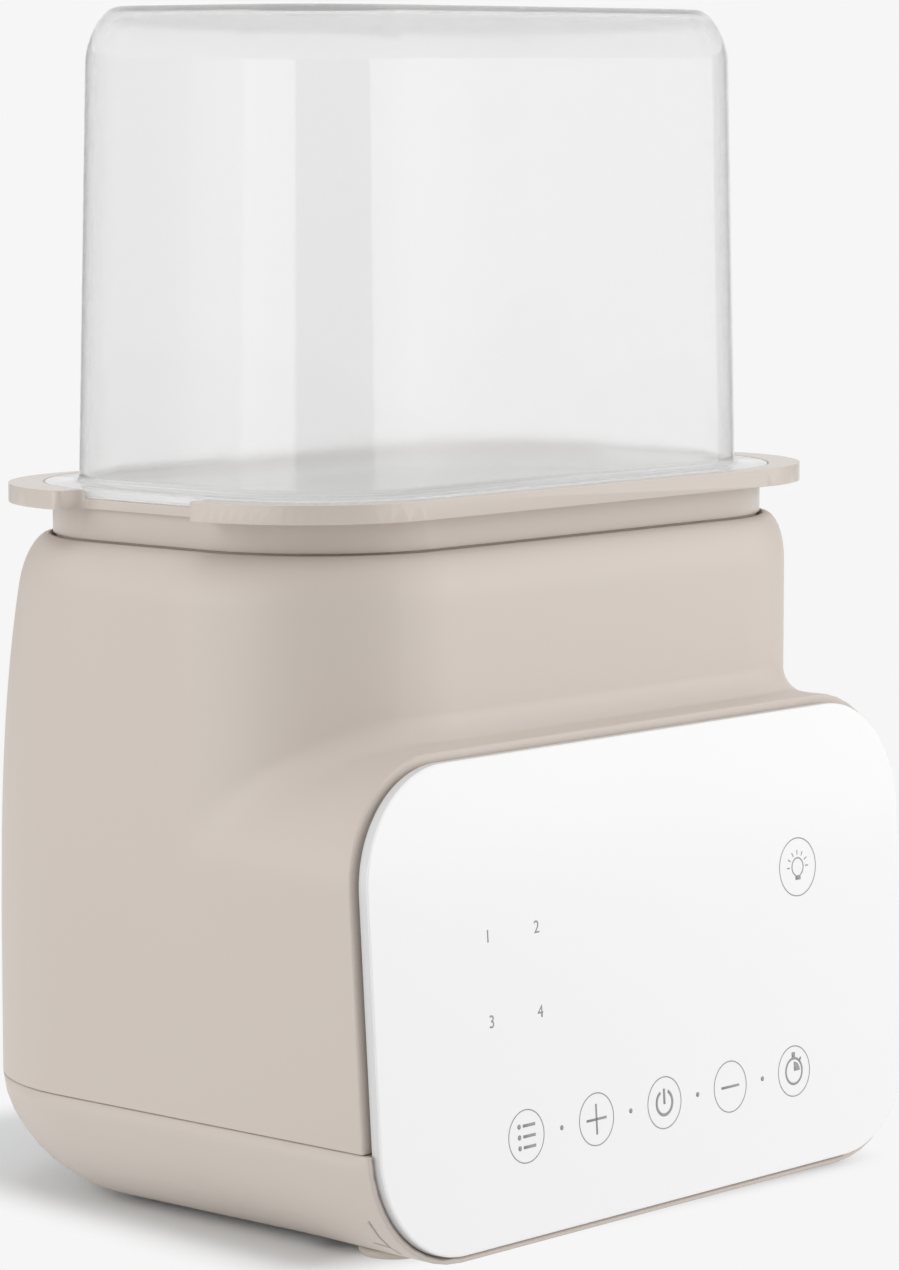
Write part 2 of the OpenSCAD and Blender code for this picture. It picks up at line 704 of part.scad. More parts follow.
// Openings in the console's face for the touch keys, the lights and the display
module housing_windows() {
    through = wall + 2;
    translate([0, 0, -face_in - 1]) linear_extrude(through) {
        translate([key_x, key_up]) square([4 * key_pitch + key_window_h, key_window_h], center = true);
        translate([lamp_x, lamp_up]) circle(d = key_window_h);
        translate([-mode_x, lights_up])
            square([mode_pitch_x + mode_box + 2 * window_gap, mode_pitch_y + mode_box + 2 * window_gap],
                center = true);
        translate([display_x, lights_up])
            square([display_w + 2 * window_gap, display_h + 2 * window_gap], center = true);
    }
}

// Bottom tray: outer skin, tongue that enters the housing and inner skin in one run of sections
module base_cover() {
    lip = panel_t - lip_step;
    lip_z = seam_z - seam_gap / 2;
    tongue = wall + tongue_gap;
    bite_in = 0.3;
    function tray(z, d, k) = section(z, tray_half(z, d, plane_y(z, k)));
    color(beige) difference() {
        union() {
            loft(concat(
                [for (i = [0:n_turn - 1]) tray(seam_z - console_r * cos(90 * i / n_turn), 0, lip)],
                [tray(lip_z, 0, lip), tray(lip_z, tongue, panel_t + tongue),
                    tray(seam_z + tongue_h, tongue, panel_t + tongue),
                    tray(seam_z + tongue_h, tongue + tongue_t, panel_t + tongue + tongue_t),
                    tray(seam_z - tongue_h, tongue + tongue_t, panel_t + tongue + tongue_t)],
                [for (t = [15:15:90]) tray(seam_z - (console_r - wall) * sin(t), wall, face_in)]), false);
            at_base_screws()
                translate([0, 0, base_z + wall - bite_in])
                    cylinder(d = post_d, h = console_r - wall + bite_in, $fn = 32);
            at_power_screws()
                translate([0, 0, base_z + wall / 2])
                    cylinder(d = boss_d, h = wall / 2 + power_lift, $fn = 32);
        }
        on_panel() translate([0, panel_h / 2, -panel_t]) linear_extrude(2 * panel_t)
            rounded(panel_w + 2 * panel_gap, panel_h + 2 * panel_gap, panel_r + panel_gap);
        on_panel() translate([-board_w / 2 - 1, board_low - 2, -board_in])
            cube([board_w + 2, board_h, board_in - panel_t + 1]);
        latch_slots();
        at_feet() translate([0, 0, base_z - 1]) cylinder(d = foot_d + 4 * screw_gap, h = foot_pocket + 1);
        at_base_screws() {
            translate([0, 0, -1]) cylinder(d = well_d, h = well_top + 1, $fn = 32);
            screw_hole(base_screw_d, 0, seam_z + 1);
        }
        at_power_screws()
            screw_hole(board_screw_d, base_z + wall, power_lift + 1);
    }
}

// Slots round the latches in the base's lower front corners: one round the corner and a short arm backwards
module latch_slots() {
    from = 34;
    to = 63;
    arm = 54;
    for (x = [-1, 1])
        translate([x * (body_w / 2 - console_r), latch_in - depth / 2, seam_z]) rotate([90, 0, 0]) {
            rotate([0, 0, x > 0 ? -to : 180 + from]) rotate_extrude(angle = to - from)
                translate([console_r - latch_w, -latch_w / 2]) square([2 * latch_w, latch_w]);
            rotate([0, 0, x > 0 ? -arm : 180 + arm]) translate([console_r - latch_w, -latch_w / 2, -latch_l])
                cube([2 * latch_w, latch_w, latch_l]);
        }
}

// Glossy front plate, bonded to the console's face by its smaller backing
module touch_panel() {
    plate_t = panel_t - backing_t;
    color("white") on_panel() translate([0, panel_h / 2, 0]) {
        translate([0, 0, -plate_t]) linear_extrude(plate_t) rounded(panel_w, panel_h, panel_r);
        translate([0, 0, glue_t - panel_t]) linear_extrude(panel_t - plate_t / 2 - glue_t)
            rounded(panel_w - 2 * backing_in, panel_h - 2 * backing_in, panel_r - backing_in);
    }
}

// Circuit board behind the console's face
module control_board() {
    color(board_green) on_panel() translate([0, 0, -board_in - board_t]) difference() {
        translate([-board_w / 2, board_low, 0]) cube([board_w, board_h, board_t]);
        at_board_screws()
            screw_hole(board_screw_d, -1, board_t + 2);
    }
}

// Conductive foam pads between the control board and the back of the panel
module touch_pads() {
    color("dimgray") on_panel() at_keys()
        translate([0, 0, -board_in]) cylinder(d = pad_d, h = board_in - panel_t);
}

// Four-digit light display that shines through the panel
module display_module() {
    digit_w = display_w / 5;
    digit_in = 0.6;
    module_t = board_in - panel_t - seat_gap;
    color("gainsboro") on_panel() translate([display_x, lights_up, -board_in]) difference() {
        translate([-display_w / 2, -display_h / 2, 0]) cube([display_w, display_h, module_t]);
        for (i = [-1.5:1.5])
            translate([i * digit_w * 1.1 - digit_w / 2, -display_h / 3, module_t - digit_in])
                cube([digit_w, display_h / 1.5, 1]);
    }
}

// Light boxes behind the four mode labels
module indicator_leds() {
    box_t = board_in - panel_t - seat_gap;
    color("ivory") on_panel()
        for (x = [-1, 1], y = [-1, 1])
            translate([x * mode_pitch_x / 2 - mode_x, lights_up + y * mode_pitch_y / 2, -board_in])
                difference() {
                    translate([-mode_box / 2, -mode_box / 2, 0]) cube([mode_box, mode_box, box_t]);
                    translate([0, 0, 1]) cylinder(d1 = mode_box / 3, d2 = mode_box * 0.8, h = box_t);
                }
}

// Sounder on the back of the control board
module buzzer() {
    color("#202020") on_panel() translate([0, board_low + board_h - buzzer_d, -board_in - board_t - buzzer_h])
        difference() {
            cylinder(d = buzzer_d, h = buzzer_h);
            translate([0, 0, -1]) cylinder(d = buzzer_d / 5, h = 2);
        }
}

module control_board_screws() {
    color(steel) on_panel() at_board_screws()
        translate([0, 0, -board_in - board_t]) rotate([180, 0, 0]) screw(board_screw_d, board_t + standoff);
}

// Flat cable with its two plugs, from the power board to the back of the control board
module ribbon_cable() {
    plug_h = 5;
    plug_d = 6;
    ribbon_t = 1;
    slack = 5;
    bite_in = 0.3;
    start_y = well_y - power_d / 2 + plug_d / 2 + 1;
    rise_y = plane_y(panel_z + board_low, board_in + board_t) + plug_h + slack;
    end_z = panel_z + (board_low + plug_d) * cos(lean);
    run_z = power_top + plug_h;
    end_y = plane_y(end_z, board_in + board_t) + plug_h;
    color("whitesmoke") {
        translate([-ribbon_w / 2 - 1, start_y - plug_d / 2, power_top]) cube([ribbon_w + 2, plug_d, plug_h]);
        on_panel() translate([-ribbon_w / 2 - 1, board_low + plug_d / 2, -board_in - board_t - plug_h])
            cube([ribbon_w + 2, plug_d, plug_h]);
        translate([ribbon_w / 2, 0, 0]) rotate([90, 0, -90]) linear_extrude(ribbon_w)
            polygon([[-start_y - ribbon_t, run_z], [-start_y + ribbon_t, run_z],
                [-start_y + ribbon_t, run_z + 2 * ribbon_t], [-rise_y - ribbon_t, run_z + 2 * ribbon_t],
                [-rise_y - ribbon_t, end_z - ribbon_t], [-end_y - bite_in, end_z - ribbon_t],
                [-end_y - bite_in, end_z + ribbon_t], [-rise_y - 2 * ribbon_t, end_z + ribbon_t],
                [-rise_y - 2 * ribbon_t, run_z + 3 * ribbon_t], [-start_y - ribbon_t, run_z + 3 * ribbon_t]]);
    }
}

// Pressed aluminium tub whose flange lies on the housing's ledge
module water_tank() {
    in_r = tank_foot_r - tank_t;
    color("silver") difference() {
        union() {
            round_well() difference() {
                union() {
                    translate([0, heat_z + tank_foot_r]) square([tank_out_r, tank_depth]);
                    translate([0, heat_z]) square([tank_out_r - tank_foot_r, tank_foot_r]);
                    translate([tank_out_r - tank_foot_r, heat_z + tank_foot_r]) circle(tank_foot_r);
                    translate([0, flange_z]) square([flange_r, tank_t]);
                }
                translate([-1, flange_top]) square([flange_r, tank_depth]);
                translate([-1, tank_floor_z + in_r]) square([tank_r + 1, tank_depth]);
                translate([-1, tank_floor_z]) square([tank_r - in_r + 1, tank_foot_r]);
                translate([tank_r - in_r, tank_floor_z + in_r]) circle(in_r);
            }
            well_middle(heat_z, tank_floor_t);
        }
        at_tank_screws() screw_hole(tank_screw_d, flange_z - 1, tank_t + 2);
    }
}

// Silicone gasket between the tank's flange and the ledge
module tank_seal() {
    color("tomato") difference() {
        translate([0, 0, ledge_z]) linear_extrude(seal_t) difference() {
            well_shape(flange_r - seat_gap);
            well_shape(ledge_r + seat_gap);
        }
        at_tank_screws()
            screw_hole(tank_screw_d, ledge_z - 1, seal_t + 2);
    }
}

module tank_screws() {
    color(steel) at_tank_screws() translate([0, 0, flange_top]) screw(tank_screw_d, tank_screw_l);
}

// Sheathed heating tube in a loop below the tank's floor, with its ends bent down
module heating_element() {
    color("#8f8a84") translate([0, well_y, heater_z]) {
        translate([-heater_run / 2, 0, 0]) rotate([0, 0, 90]) rotate_extrude(angle = 180)
            translate([heater_span / 2, 0]) circle(d = heater_d);
        for (y = [-1, 1])
            translate([0, y * heater_span / 2, 0]) {
                translate([-heater_run / 2, 0, 0]) rotate([0, 90, 0]) cylinder(d = heater_d, h = heater_run);
                translate([heater_run / 2, 0, -heater_bend_r]) rotate([90, 0, 0]) rotate_extrude(angle = 90)
                    translate([heater_bend_r, 0]) circle(d = heater_d);
                translate([heater_end_x, 0, -heater_bend_r - heater_pin_l])
                    cylinder(d = heater_pin_d, h = heater_pin_l + 1);
            }
    }
}

// Two pressed clamps, on studs of the tank's floor, that hold the heating tube up
module heater_clamps() {
    clamp_l = heater_span + heater_d + 6;
    color(steel) for (x = [-1, 1])
        translate([x * clamp_pitch / 2, well_y, heat_z - heater_d]) {
            translate([-clamp_w / 2, -clamp_l / 2, -clamp_t]) cube([clamp_w, clamp_l, clamp_t]);
            cylinder(d = stud_d, h = heater_d, $fn = 32);
        }
}

// Disc thermostat in the middle of the tank's floor, with its fixing ears and two tabs
module thermostat() {
    ear_w = 8;
    ear_t = 1;
    ear_l = thermostat_d + 1.5 * ear_w;
    ear_hole_d = 3;
    tab_w = 6;
    tab_l = 6;
    tab_t = 0.8;
    color("#3a3a3c") translate([0, well_y, heat_z]) {
        translate([0, 0, -thermostat_h]) cylinder(d = thermostat_d, h = thermostat_h);
        difference() {
            translate([-ear_l / 2, -ear_w / 2, -ear_t]) cube([ear_l, ear_w, ear_t]);
            for (x = [-1, 1])
                translate([x * (ear_l / 2 - ear_hole_d), 0, -2 * ear_t])
                    cylinder(d = ear_hole_d, h = 3 * ear_t, $fn = 32);
        }
        for (x = [-1, 1])
            translate([x * thermostat_d / 4 - tab_t / 2, -tab_w / 2, -thermostat_h - tab_l])
                cube([tab_t, tab_w, tab_l + 1]);
    }
}

// One-shot fuse in its clip below the tank's floor
module thermal_fuse() {
    clip_w = 5;
    clip_t = 0.8;
    clip_foot = 2;
    bite_in = 0.3;
    color("#d8d2c4") translate([-clamp_pitch / 2 - clamp_w, well_y, heat_z]) {
        translate([0, fuse_l / 2, -fuse_d / 2 - clip_t + bite_in]) rotate([90, 0, 0])
            cylinder(d = fuse_d, h = fuse_l, $fn = 32);
        translate([-fuse_d / 2 - clip_foot, -clip_w / 2, -clip_t])
            cube([fuse_d + 2 * clip_foot, clip_w, clip_t]);
    }
}

// Temperature probe that touches the tank's floor
module temperature_sensor() {
    flange_w = 2.5;
    flange_t = 1.2;
    color("#c9b27a") translate([clamp_pitch / 2 + clamp_w + sensor_d / 2, well_y, heat_z]) {
        translate([0, 0, -sensor_h]) cylinder(d = sensor_d, h = sensor_h, $fn = 32);
        translate([0, 0, -flange_t]) cylinder(d = sensor_d + 2 * flange_w, h = flange_t, $fn = 32);
    }
}

// Sleeved leads from the power board up to the heater's pins
module heater_leads() {
    grip = heater_pin_l - 1;
    color("#b5482e") for (y = [-1, 1])
        translate([heater_end_x, well_y + y * heater_span / 2, 0]) difference() {
            translate([0, 0, power_top]) cylinder(d = lead_d, h = pin_z + grip - power_top, $fn = 32);
            screw_hole(heater_pin_d, pin_z - seat_gap, grip + 1);
        }
}

module power_board() {
    color(board_green) difference() {
        translate([-power_w / 2, well_y - power_d / 2, power_z]) cube([power_w, power_d, board_t]);
        at_power_screws()
            screw_hole(board_screw_d, power_z - 1, board_t + 2);
    }
}

// Laminated core with its bobbin
module transformer() {
    core_t = transformer_d / 2;
    foot_h = 2;
    step_h = 4;
    color("#6b5a3a") translate([-power_w / 4 - step_h, well_y, power_top]) {
        translate([-transformer_w / 2, -core_t / 2, 0]) cube([transformer_w, core_t, transformer_h]);
        difference() {
            translate([-transformer_w / 3, -transformer_d / 2, foot_h])
                cube([transformer_w / 1.5, transformer_d, transformer_h - foot_h - step_h]);
            translate([-transformer_w, -core_t / 2, 0]) cube([2 * transformer_w, core_t, transformer_h]);
        }
    }
}

module relay() {
    color("#2458a8") translate([power_w / 12, well_y - power_d / 4, power_top])
        translate([-relay_l / 2, -relay_w / 2, 0]) cube([relay_l, relay_w, relay_h]);
}

// Can capacitor with its crimped neck
module filter_capacitor() {
    neck_up = 3;
    neck_in = 0.6;
    crimp_r = 1;
    color("#33363c") translate([power_w / 4, well_y, power_top]) rotate_extrude() difference() {
        square([capacitor_d / 2, capacitor_h]);
        translate([capacitor_d / 2 + crimp_r - neck_in, neck_up]) circle(crimp_r, $fn = 24);
    }
}

// Screw terminals for the mains lead
module mains_terminal() {
    poles = 3;
    pole_pitch = terminal_l / poles;
    hole_d = 4;
    wire_in = 5;
    color("#4f8f5a") translate([power_w / 12, well_y + power_d / 4 + 4, power_top]) difference() {
        translate([-terminal_l / 2, -terminal_w / 2, 0]) cube([terminal_l, terminal_w, terminal_h]);
        for (i = [0:poles - 1])
            translate([(i - (poles - 1) / 2) * pole_pitch, 0, 0]) {
                translate([0, 0, terminal_h - hole_d]) cylinder(d = hole_d, h = hole_d + 1, $fn = 24);
                translate([0, terminal_w / 2 - wire_in, terminal_h / 3]) rotate([-90, 0, 0])
                    cylinder(d = hole_d, h = wire_in + 1, $fn = 24);
            }
    }
}

module power_board_screws() {
    color(steel) at_power_screws() translate([0, 0, power_top]) screw(board_screw_d, board_t + power_lift);
}

// Bushing in the back wall through which the mains lead passes
module cord_gland() {
    color("#c4bab0") translate([gland_x, depth / 2 - screw_gap, seam_z + gland_up]) rotate([90, 0, 0])
        difference() {
            union() {
                cylinder(d = gland_flange_d, h = gland_flange_t);
                cylinder(d = gland_d, h = gland_flange_t + gland_l);
            }
            translate([0, 0, -1]) cylinder(d = gland_bore_d, h = gland_flange_t + gland_l + 2);
        }
}

// Rubber feet in shallow pockets, with a rounded tread
module feet() {
    tread_r = 1;
    color("#c6bcb2") at_feet() rotate_extrude() {
        square([foot_d / 2 - tread_r, base_z + foot_pocket]);
        translate([0, tread_r]) square([foot_d / 2, base_z + foot_pocket - tread_r]);
        translate([foot_d / 2 - tread_r, tread_r]) circle(tread_r, $fn = 24);
    }
}

module base_screws() {
    color(steel) at_base_screws()
        translate([0, 0, well_top]) rotate([180, 0, 0])
            screw(base_screw_d, base_screw_seat + base_screw_bite);
}

// Lifting ring with recesses for the dome's rim and the basket's flange, and the neck and collar below it
module basket_ring() {
    neck_z = rim_z + neck_slot;
    color(beige) difference() {
        union() {
            translate([0, well_y, ring_z]) linear_extrude(ring_t) rounded(ring_w, ring_d, ring_r);
            translate([0, 0, neck_z]) linear_extrude(ring_z - neck_z + ring_floor_t / 2) well_shape(neck_r);
            translate([0, 0, collar_z]) linear_extrude(neck_z - collar_z + ring_floor_t / 2)
                well_shape(neck_r - neck_step);
        }
        translate([0, 0, basket_flange_z]) linear_extrude(ring_t) well_shape(recess_r);
        translate([0, 0, ring_floor_z]) linear_extrude(ring_t) well_shape(neck_r);
        translate([0, 0, collar_z - 1]) linear_extrude(ring_top - collar_z + 2) well_shape(neck_r - collar_t);
        translate([0, well_y, ring_z - 1]) linear_extrude(ring_t + 2) ring_notches();
    }
}

// Finger notches in the ring's ends, which flare into its rounded tips
module ring_notches() {
    depth_in = core_w / 2 + dome_rim_r;
    for (x = [-1, 1]) {
        translate([x * (depth_in + notch_w / 2), 0]) rounded(notch_w, notch_w, notch_r);
        for (y = [-1, 1])
            translate([x * ring_w / 2, y * notch_w / 2]) difference() {
                square(2 * notch_tip_r, center = true);
                translate([-x * notch_tip_r, y * notch_tip_r]) circle(notch_tip_r);
            }
    }
}

// Bottle basket: flange on the ring's floor, wide upper wall, step and drained lower tub
module basket() {
    flange_out = neck_r - basket_gap;
    low_r = basket_low_r - basket_draft;
    drain_edge = 4;
    drain_reach = low_r - basket_t - drain_d / 2;
    count_x = floor((core_w / 2 + drain_reach - drain_edge) / drain_pitch);
    count_y = floor((core_d / 2 + drain_reach - drain_edge) / drain_pitch);
    color("#dcdcda") difference() {
        union() {
            round_well() polygon([[basket_r - basket_t, basket_flange_z], [flange_out, basket_flange_z],
                [flange_out, ring_floor_z], [basket_r, ring_floor_z], [basket_r, basket_step_z],
                [basket_low_r, basket_step_z], [low_r, basket_z], [0, basket_z], [0, basket_z + basket_t],
                [low_r - basket_t, basket_z + basket_t], [basket_low_r - basket_t, basket_step_z + basket_t],
                [basket_r - basket_t, basket_step_z + basket_t]]);
            well_middle(basket_z, basket_t);
        }
        for (i = [-count_x:count_x], j = [-count_y:count_y])
            if (norm([max(0, abs(i) * drain_pitch - core_w / 2), max(0, abs(j) * drain_pitch - core_d / 2)])
                < drain_reach - 1)
                translate([i * drain_pitch, well_y + j * drain_pitch, basket_z - 1])
                    cylinder(d = drain_d, h = basket_t + 2, $fn = 24);
    }
}

// Profile of one of the dome's skins: foot radius r, top at height h, top edge rounding q
module dome_skin(r, h, q) {
    top = r - dome_draft;
    polygon([[0, dome_z], [r, dome_z], [top, h - q], [0, h - q]]);
    translate([0, h - q - 1]) square([top - q, q + 1]);
    translate([top - q, h - q]) circle(q);
}

// Clear steam dome: flat rim, centring skirt, drafted wall and rounded top with its vents
module dome_cover() {
    skirt_r = basket_r - basket_t - dome_gap;
    color(clear_tint) difference() {
        union() {
            round_well() difference() {
                union() {
                    dome_skin(dome_r, total_h, dome_top_r);
                    translate([0, dome_z]) square([dome_rim_r, ring_top - dome_z]);
                    translate([0, dome_z - skirt_h]) square([skirt_r, skirt_h]);
                    translate([0, ring_top]) difference() {
                        square([dome_r + dome_foot_r, dome_foot_r]);
                        translate([dome_r + dome_foot_r, dome_foot_r]) circle(dome_foot_r);
                    }
                }
                dome_skin(dome_r - dome_t, total_h - dome_t, dome_top_r - dome_t);
                translate([-1, dome_z - skirt_h - 1]) square([skirt_r - skirt_t + 1, skirt_h + 1]);
            }
            well_middle(total_h - dome_t, dome_t);
        }
        for (i = [-1:1])
            translate([i * vent_pitch, well_y, total_h - dome_t - 1]) cylinder(d = vent_d, h = dome_t + 2);
    }
}

main_housing();
base_cover();
touch_panel();
control_board();
touch_pads();
display_module();
indicator_leds();
buzzer();
control_board_screws();
ribbon_cable();
water_tank();
tank_seal();
tank_screws();
heating_element();
heater_clamps();
thermostat();
thermal_fuse();
temperature_sensor();
heater_leads();
power_board();
transformer();
relay();
filter_capacitor();
mains_terminal();
power_board_screws();
cord_gland();
feet();
base_screws();
basket_ring();
basket();
dome_cover();
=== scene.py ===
import math

import bmesh
import bpy
from mathutils import Matrix, Vector


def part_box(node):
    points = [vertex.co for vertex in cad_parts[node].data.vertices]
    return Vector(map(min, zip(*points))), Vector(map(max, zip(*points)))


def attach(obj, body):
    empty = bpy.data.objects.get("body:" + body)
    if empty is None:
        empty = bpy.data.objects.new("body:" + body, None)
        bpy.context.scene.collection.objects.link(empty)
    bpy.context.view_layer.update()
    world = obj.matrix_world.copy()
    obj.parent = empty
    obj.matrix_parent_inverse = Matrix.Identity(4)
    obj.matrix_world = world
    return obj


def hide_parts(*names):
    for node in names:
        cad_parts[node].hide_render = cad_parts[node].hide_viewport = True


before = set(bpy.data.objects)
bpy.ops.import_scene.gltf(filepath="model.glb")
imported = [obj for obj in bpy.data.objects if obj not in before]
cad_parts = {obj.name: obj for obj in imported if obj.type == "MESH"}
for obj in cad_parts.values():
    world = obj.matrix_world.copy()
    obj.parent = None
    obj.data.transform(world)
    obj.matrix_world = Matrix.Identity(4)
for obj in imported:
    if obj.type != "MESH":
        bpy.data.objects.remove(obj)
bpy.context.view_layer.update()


# Base tray: the lower shell that everything stands in, injection moulded in warm beige polypropylene with
# a fine satin texture. Four screws pull it up to the housing, and a thin open seam shows between the two.
MM = 0.001
MERGED = 0.002 * MM
SHARP_EDGE = math.radians(35.0)
BEIGE = (0.585, 0.521, 0.470)


def satin_plastic(name, colour, roughness, grain_mm=0.5, grain_depth_mm=0.012):
    """Moulded plastic: faint clouding of the colour, with the tool's fine texture in gloss and relief."""
    material = bpy.data.materials.new(name)
    material.use_nodes = True
    nodes, links = material.node_tree.nodes, material.node_tree.links
    shader = nodes["Principled BSDF"]
    shader.inputs["Specular IOR Level"].default_value = 0.4
    place = nodes.new("ShaderNodeTexCoord")
    cloud = nodes.new("ShaderNodeTexNoise")
    cloud.inputs["Scale"].default_value = 14.0
    cloud.inputs["Detail"].default_value = 3.0
    tone = nodes.new("ShaderNodeMix")
    tone.data_type = "RGBA"
    tone.inputs["A"].default_value = (*[c * 0.985 for c in colour], 1.0)
    tone.inputs["B"].default_value = (*[c * 1.015 for c in colour], 1.0)
    grain = nodes.new("ShaderNodeTexNoise")
    grain.inputs["Scale"].default_value = 1.0 / (grain_mm * MM)
    grain.inputs["Detail"].default_value = 2.0
    gloss = nodes.new("ShaderNodeMapRange")
    gloss.inputs["To Min"].default_value = roughness - 0.05
    gloss.inputs["To Max"].default_value = roughness + 0.05
    relief = nodes.new("ShaderNodeBump")
    relief.inputs["Strength"].default_value = 0.5
    relief.inputs["Distance"].default_value = grain_depth_mm * MM
    links.new(place.outputs["Object"], cloud.inputs["Vector"])
    links.new(place.outputs["Object"], grain.inputs["Vector"])
    links.new(cloud.outputs["Fac"], tone.inputs["Factor"])
    links.new(tone.outputs["Result"], shader.inputs["Base Color"])
    links.new(grain.outputs["Fac"], gloss.inputs["Value"])
    links.new(gloss.outputs["Result"], shader.inputs["Roughness"])
    links.new(grain.outputs["Fac"], relief.inputs["Height"])
    links.new(relief.outputs["Normal"], shader.inputs["Normal"])
    return material


def finished(piece_name, bm, materials, body, slot, *replaced):
    """Turns a bmesh into a smooth-shaded piece on its body, standing for the nodes that it replaces."""
    mesh = bpy.data.meshes.new(piece_name)
    bm.to_mesh(mesh)
    bm.free()
    mesh.shade_smooth()
    mesh.set_sharp_from_angle(angle=SHARP_EDGE)
    for material in materials:
        mesh.materials.append(material)
    piece = bpy.data.objects.new(piece_name, mesh)
    bpy.context.scene.collection.objects.link(piece)
    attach(piece, body)
    if replaced:
        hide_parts(*replaced)
    return piece


def joined_skin(node):
    """Copy of a node's skin with its loose triangles merged, so that its rounded faces can be smoothed."""
    bm = bmesh.new()
    bm.from_mesh(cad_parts[node].data)
    bmesh.ops.remove_doubles(bm, verts=bm.verts, dist=MERGED)
    bmesh.ops.dissolve_degenerate(bm, edges=bm.edges, dist=MERGED)
    for face in bm.faces:
        face.material_index = 0
    return bm


def even_shading(piece):
    """Weights the shading by face area, so that flat walls stay flat beside their rounded edges."""
    shading = piece.modifiers.new("even_shading", "WEIGHTED_NORMAL")
    shading.keep_sharp = True


beige_satin = satin_plastic("beige_satin_plastic", BEIGE, 0.45)
base_tray = finished("base_tray", joined_skin("base_cover"), [beige_satin], "root", "beige_plastic",
                     "base_cover")
even_shading(base_tray)


# Feet: four moulded rubber discs pressed into pockets below the tray, in nearly the body's own colour.
# Their treads have a rounded edge, and they grip the table.
FOOT_BEIGE = (0.57, 0.51, 0.45)
rubber = satin_plastic("foot_rubber", FOOT_BEIGE, 0.7, grain_mm=0.3, grain_depth_mm=0.02)
finished("rubber_feet", joined_skin("feet"), [rubber], "root", "foot_rubber", "feet")


# Screws and clamps: zinc-plated steel with fine drawn marks. The screws have pan heads with a cross slot and
# hold the base, the boards and the tank. The two pressed clamps hold the heating tube.
def plated_metal(name, colour, roughness, mark_mm=0.4):
    """Metal with fine drawn marks in its gloss."""
    material = bpy.data.materials.new(name)
    material.use_nodes = True
    nodes, links = material.node_tree.nodes, material.node_tree.links
    shader = nodes["Principled BSDF"]
    shader.inputs["Base Color"].default_value = (*colour, 1.0)
    shader.inputs["Metallic"].default_value = 1.0
    place = nodes.new("ShaderNodeTexCoord")
    stretch = nodes.new("ShaderNodeMapping")
    stretch.inputs["Scale"].default_value = (0.06, 1.0, 1.0)
    marks = nodes.new("ShaderNodeTexNoise")
    marks.inputs["Scale"].default_value = 1.0 / (mark_mm * MM)
    marks.inputs["Detail"].default_value = 4.0
    gloss = nodes.new("ShaderNodeMapRange")
    gloss.inputs["To Min"].default_value = roughness - 0.08
    gloss.inputs["To Max"].default_value = roughness + 0.08
    relief = nodes.new("ShaderNodeBump")
    relief.inputs["Strength"].default_value = 0.25
    relief.inputs["Distance"].default_value = 0.01 * MM
    links.new(place.outputs["Object"], stretch.inputs["Vector"])
    links.new(stretch.outputs["Vector"], marks.inputs["Vector"])
    links.new(marks.outputs["Fac"], gloss.inputs["Value"])
    links.new(gloss.outputs["Result"], shader.inputs["Roughness"])
    links.new(marks.outputs["Fac"], relief.inputs["Height"])
    links.new(relief.outputs["Normal"], shader.inputs["Normal"])
    return material


def dress(material, *node_names):
    """Gives CAD nodes that show as they are their finish."""
    for node_name in node_names:
        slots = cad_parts[node_name].data.materials
        slots.clear()
        slots.append(material)


zinc = plated_metal("zinc_plate", (0.62, 0.62, 0.64), 0.34)
dress(zinc, "base_screws", "power_board_screws", "control_board_screws", "tank_screws", "heater_clamps")


# Circuit boards: green solder mask over glass fibre, with the copper tracks showing through as lighter
# streets. The power board stands on bosses in the tray and the control board hangs behind the console.
solder_mask = bpy.data.materials.new("green_solder_mask")
solder_mask.use_nodes = True
mask_nodes, mask_links = solder_mask.node_tree.nodes, solder_mask.node_tree.links
mask_shader = mask_nodes["Principled BSDF"]
mask_shader.inputs["Roughness"].default_value = 0.3
mask_shader.inputs["Coat Weight"].default_value = 0.3
mask_place = mask_nodes.new("ShaderNodeTexCoord")
tracks = mask_nodes.new("ShaderNodeTexBrick")
tracks.inputs["Scale"].default_value = 90.0
tracks.inputs["Mortar Size"].default_value = 0.08
tracks.inputs["Color1"].default_value = (0.020, 0.110, 0.050, 1.0)
tracks.inputs["Color2"].default_value = (0.026, 0.135, 0.060, 1.0)
tracks.inputs["Mortar"].default_value = (0.060, 0.230, 0.100, 1.0)
mask_links.new(mask_place.outputs["Object"], tracks.inputs["Vector"])
mask_links.new(tracks.outputs["Color"], mask_shader.inputs["Base Color"])
dress(solder_mask, "power_board", "control_board")


# Parts on the power board: laminated transformer, sealed relay, can capacitor and screw terminals.
# They stand on the board, each in its usual finish: varnish, coloured plastic or a shrunk sleeve.
dress(plated_metal("varnished_laminations", (0.30, 0.27, 0.24), 0.5, mark_mm=0.5), "transformer")
dress(satin_plastic("relay_case", (0.02, 0.09, 0.36), 0.3, grain_mm=1.0), "relay")
dress(satin_plastic("shrink_sleeve", (0.03, 0.03, 0.036), 0.36, grain_mm=0.8), "filter_capacitor")
dress(satin_plastic("terminal_body", (0.05, 0.28, 0.10), 0.42), "mains_terminal")


# Heater group below the tank: a sheathed tube held up by two clamps, with its thermostat, one-shot fuse
# and probe against the tank's floor. Silicone-sleeved leads run from the power board to its pins.
# The control board's buzzer and the tank's gasket share two of these finishes.
dress(plated_metal("oxidised_sheath", (0.33, 0.30, 0.28), 0.46, mark_mm=0.6), "heating_element")
dress(satin_plastic("thermostat_resin", (0.035, 0.035, 0.04), 0.5), "thermostat", "buzzer")
dress(satin_plastic("fuse_ceramic", (0.72, 0.70, 0.64), 0.4), "thermal_fuse")
dress(plated_metal("probe_brass", (0.70, 0.54, 0.25), 0.3), "temperature_sensor")
red_silicone = satin_plastic("red_silicone", (0.48, 0.10, 0.06), 0.62, grain_mm=0.4)
dress(red_silicone, "heater_leads", "tank_seal")


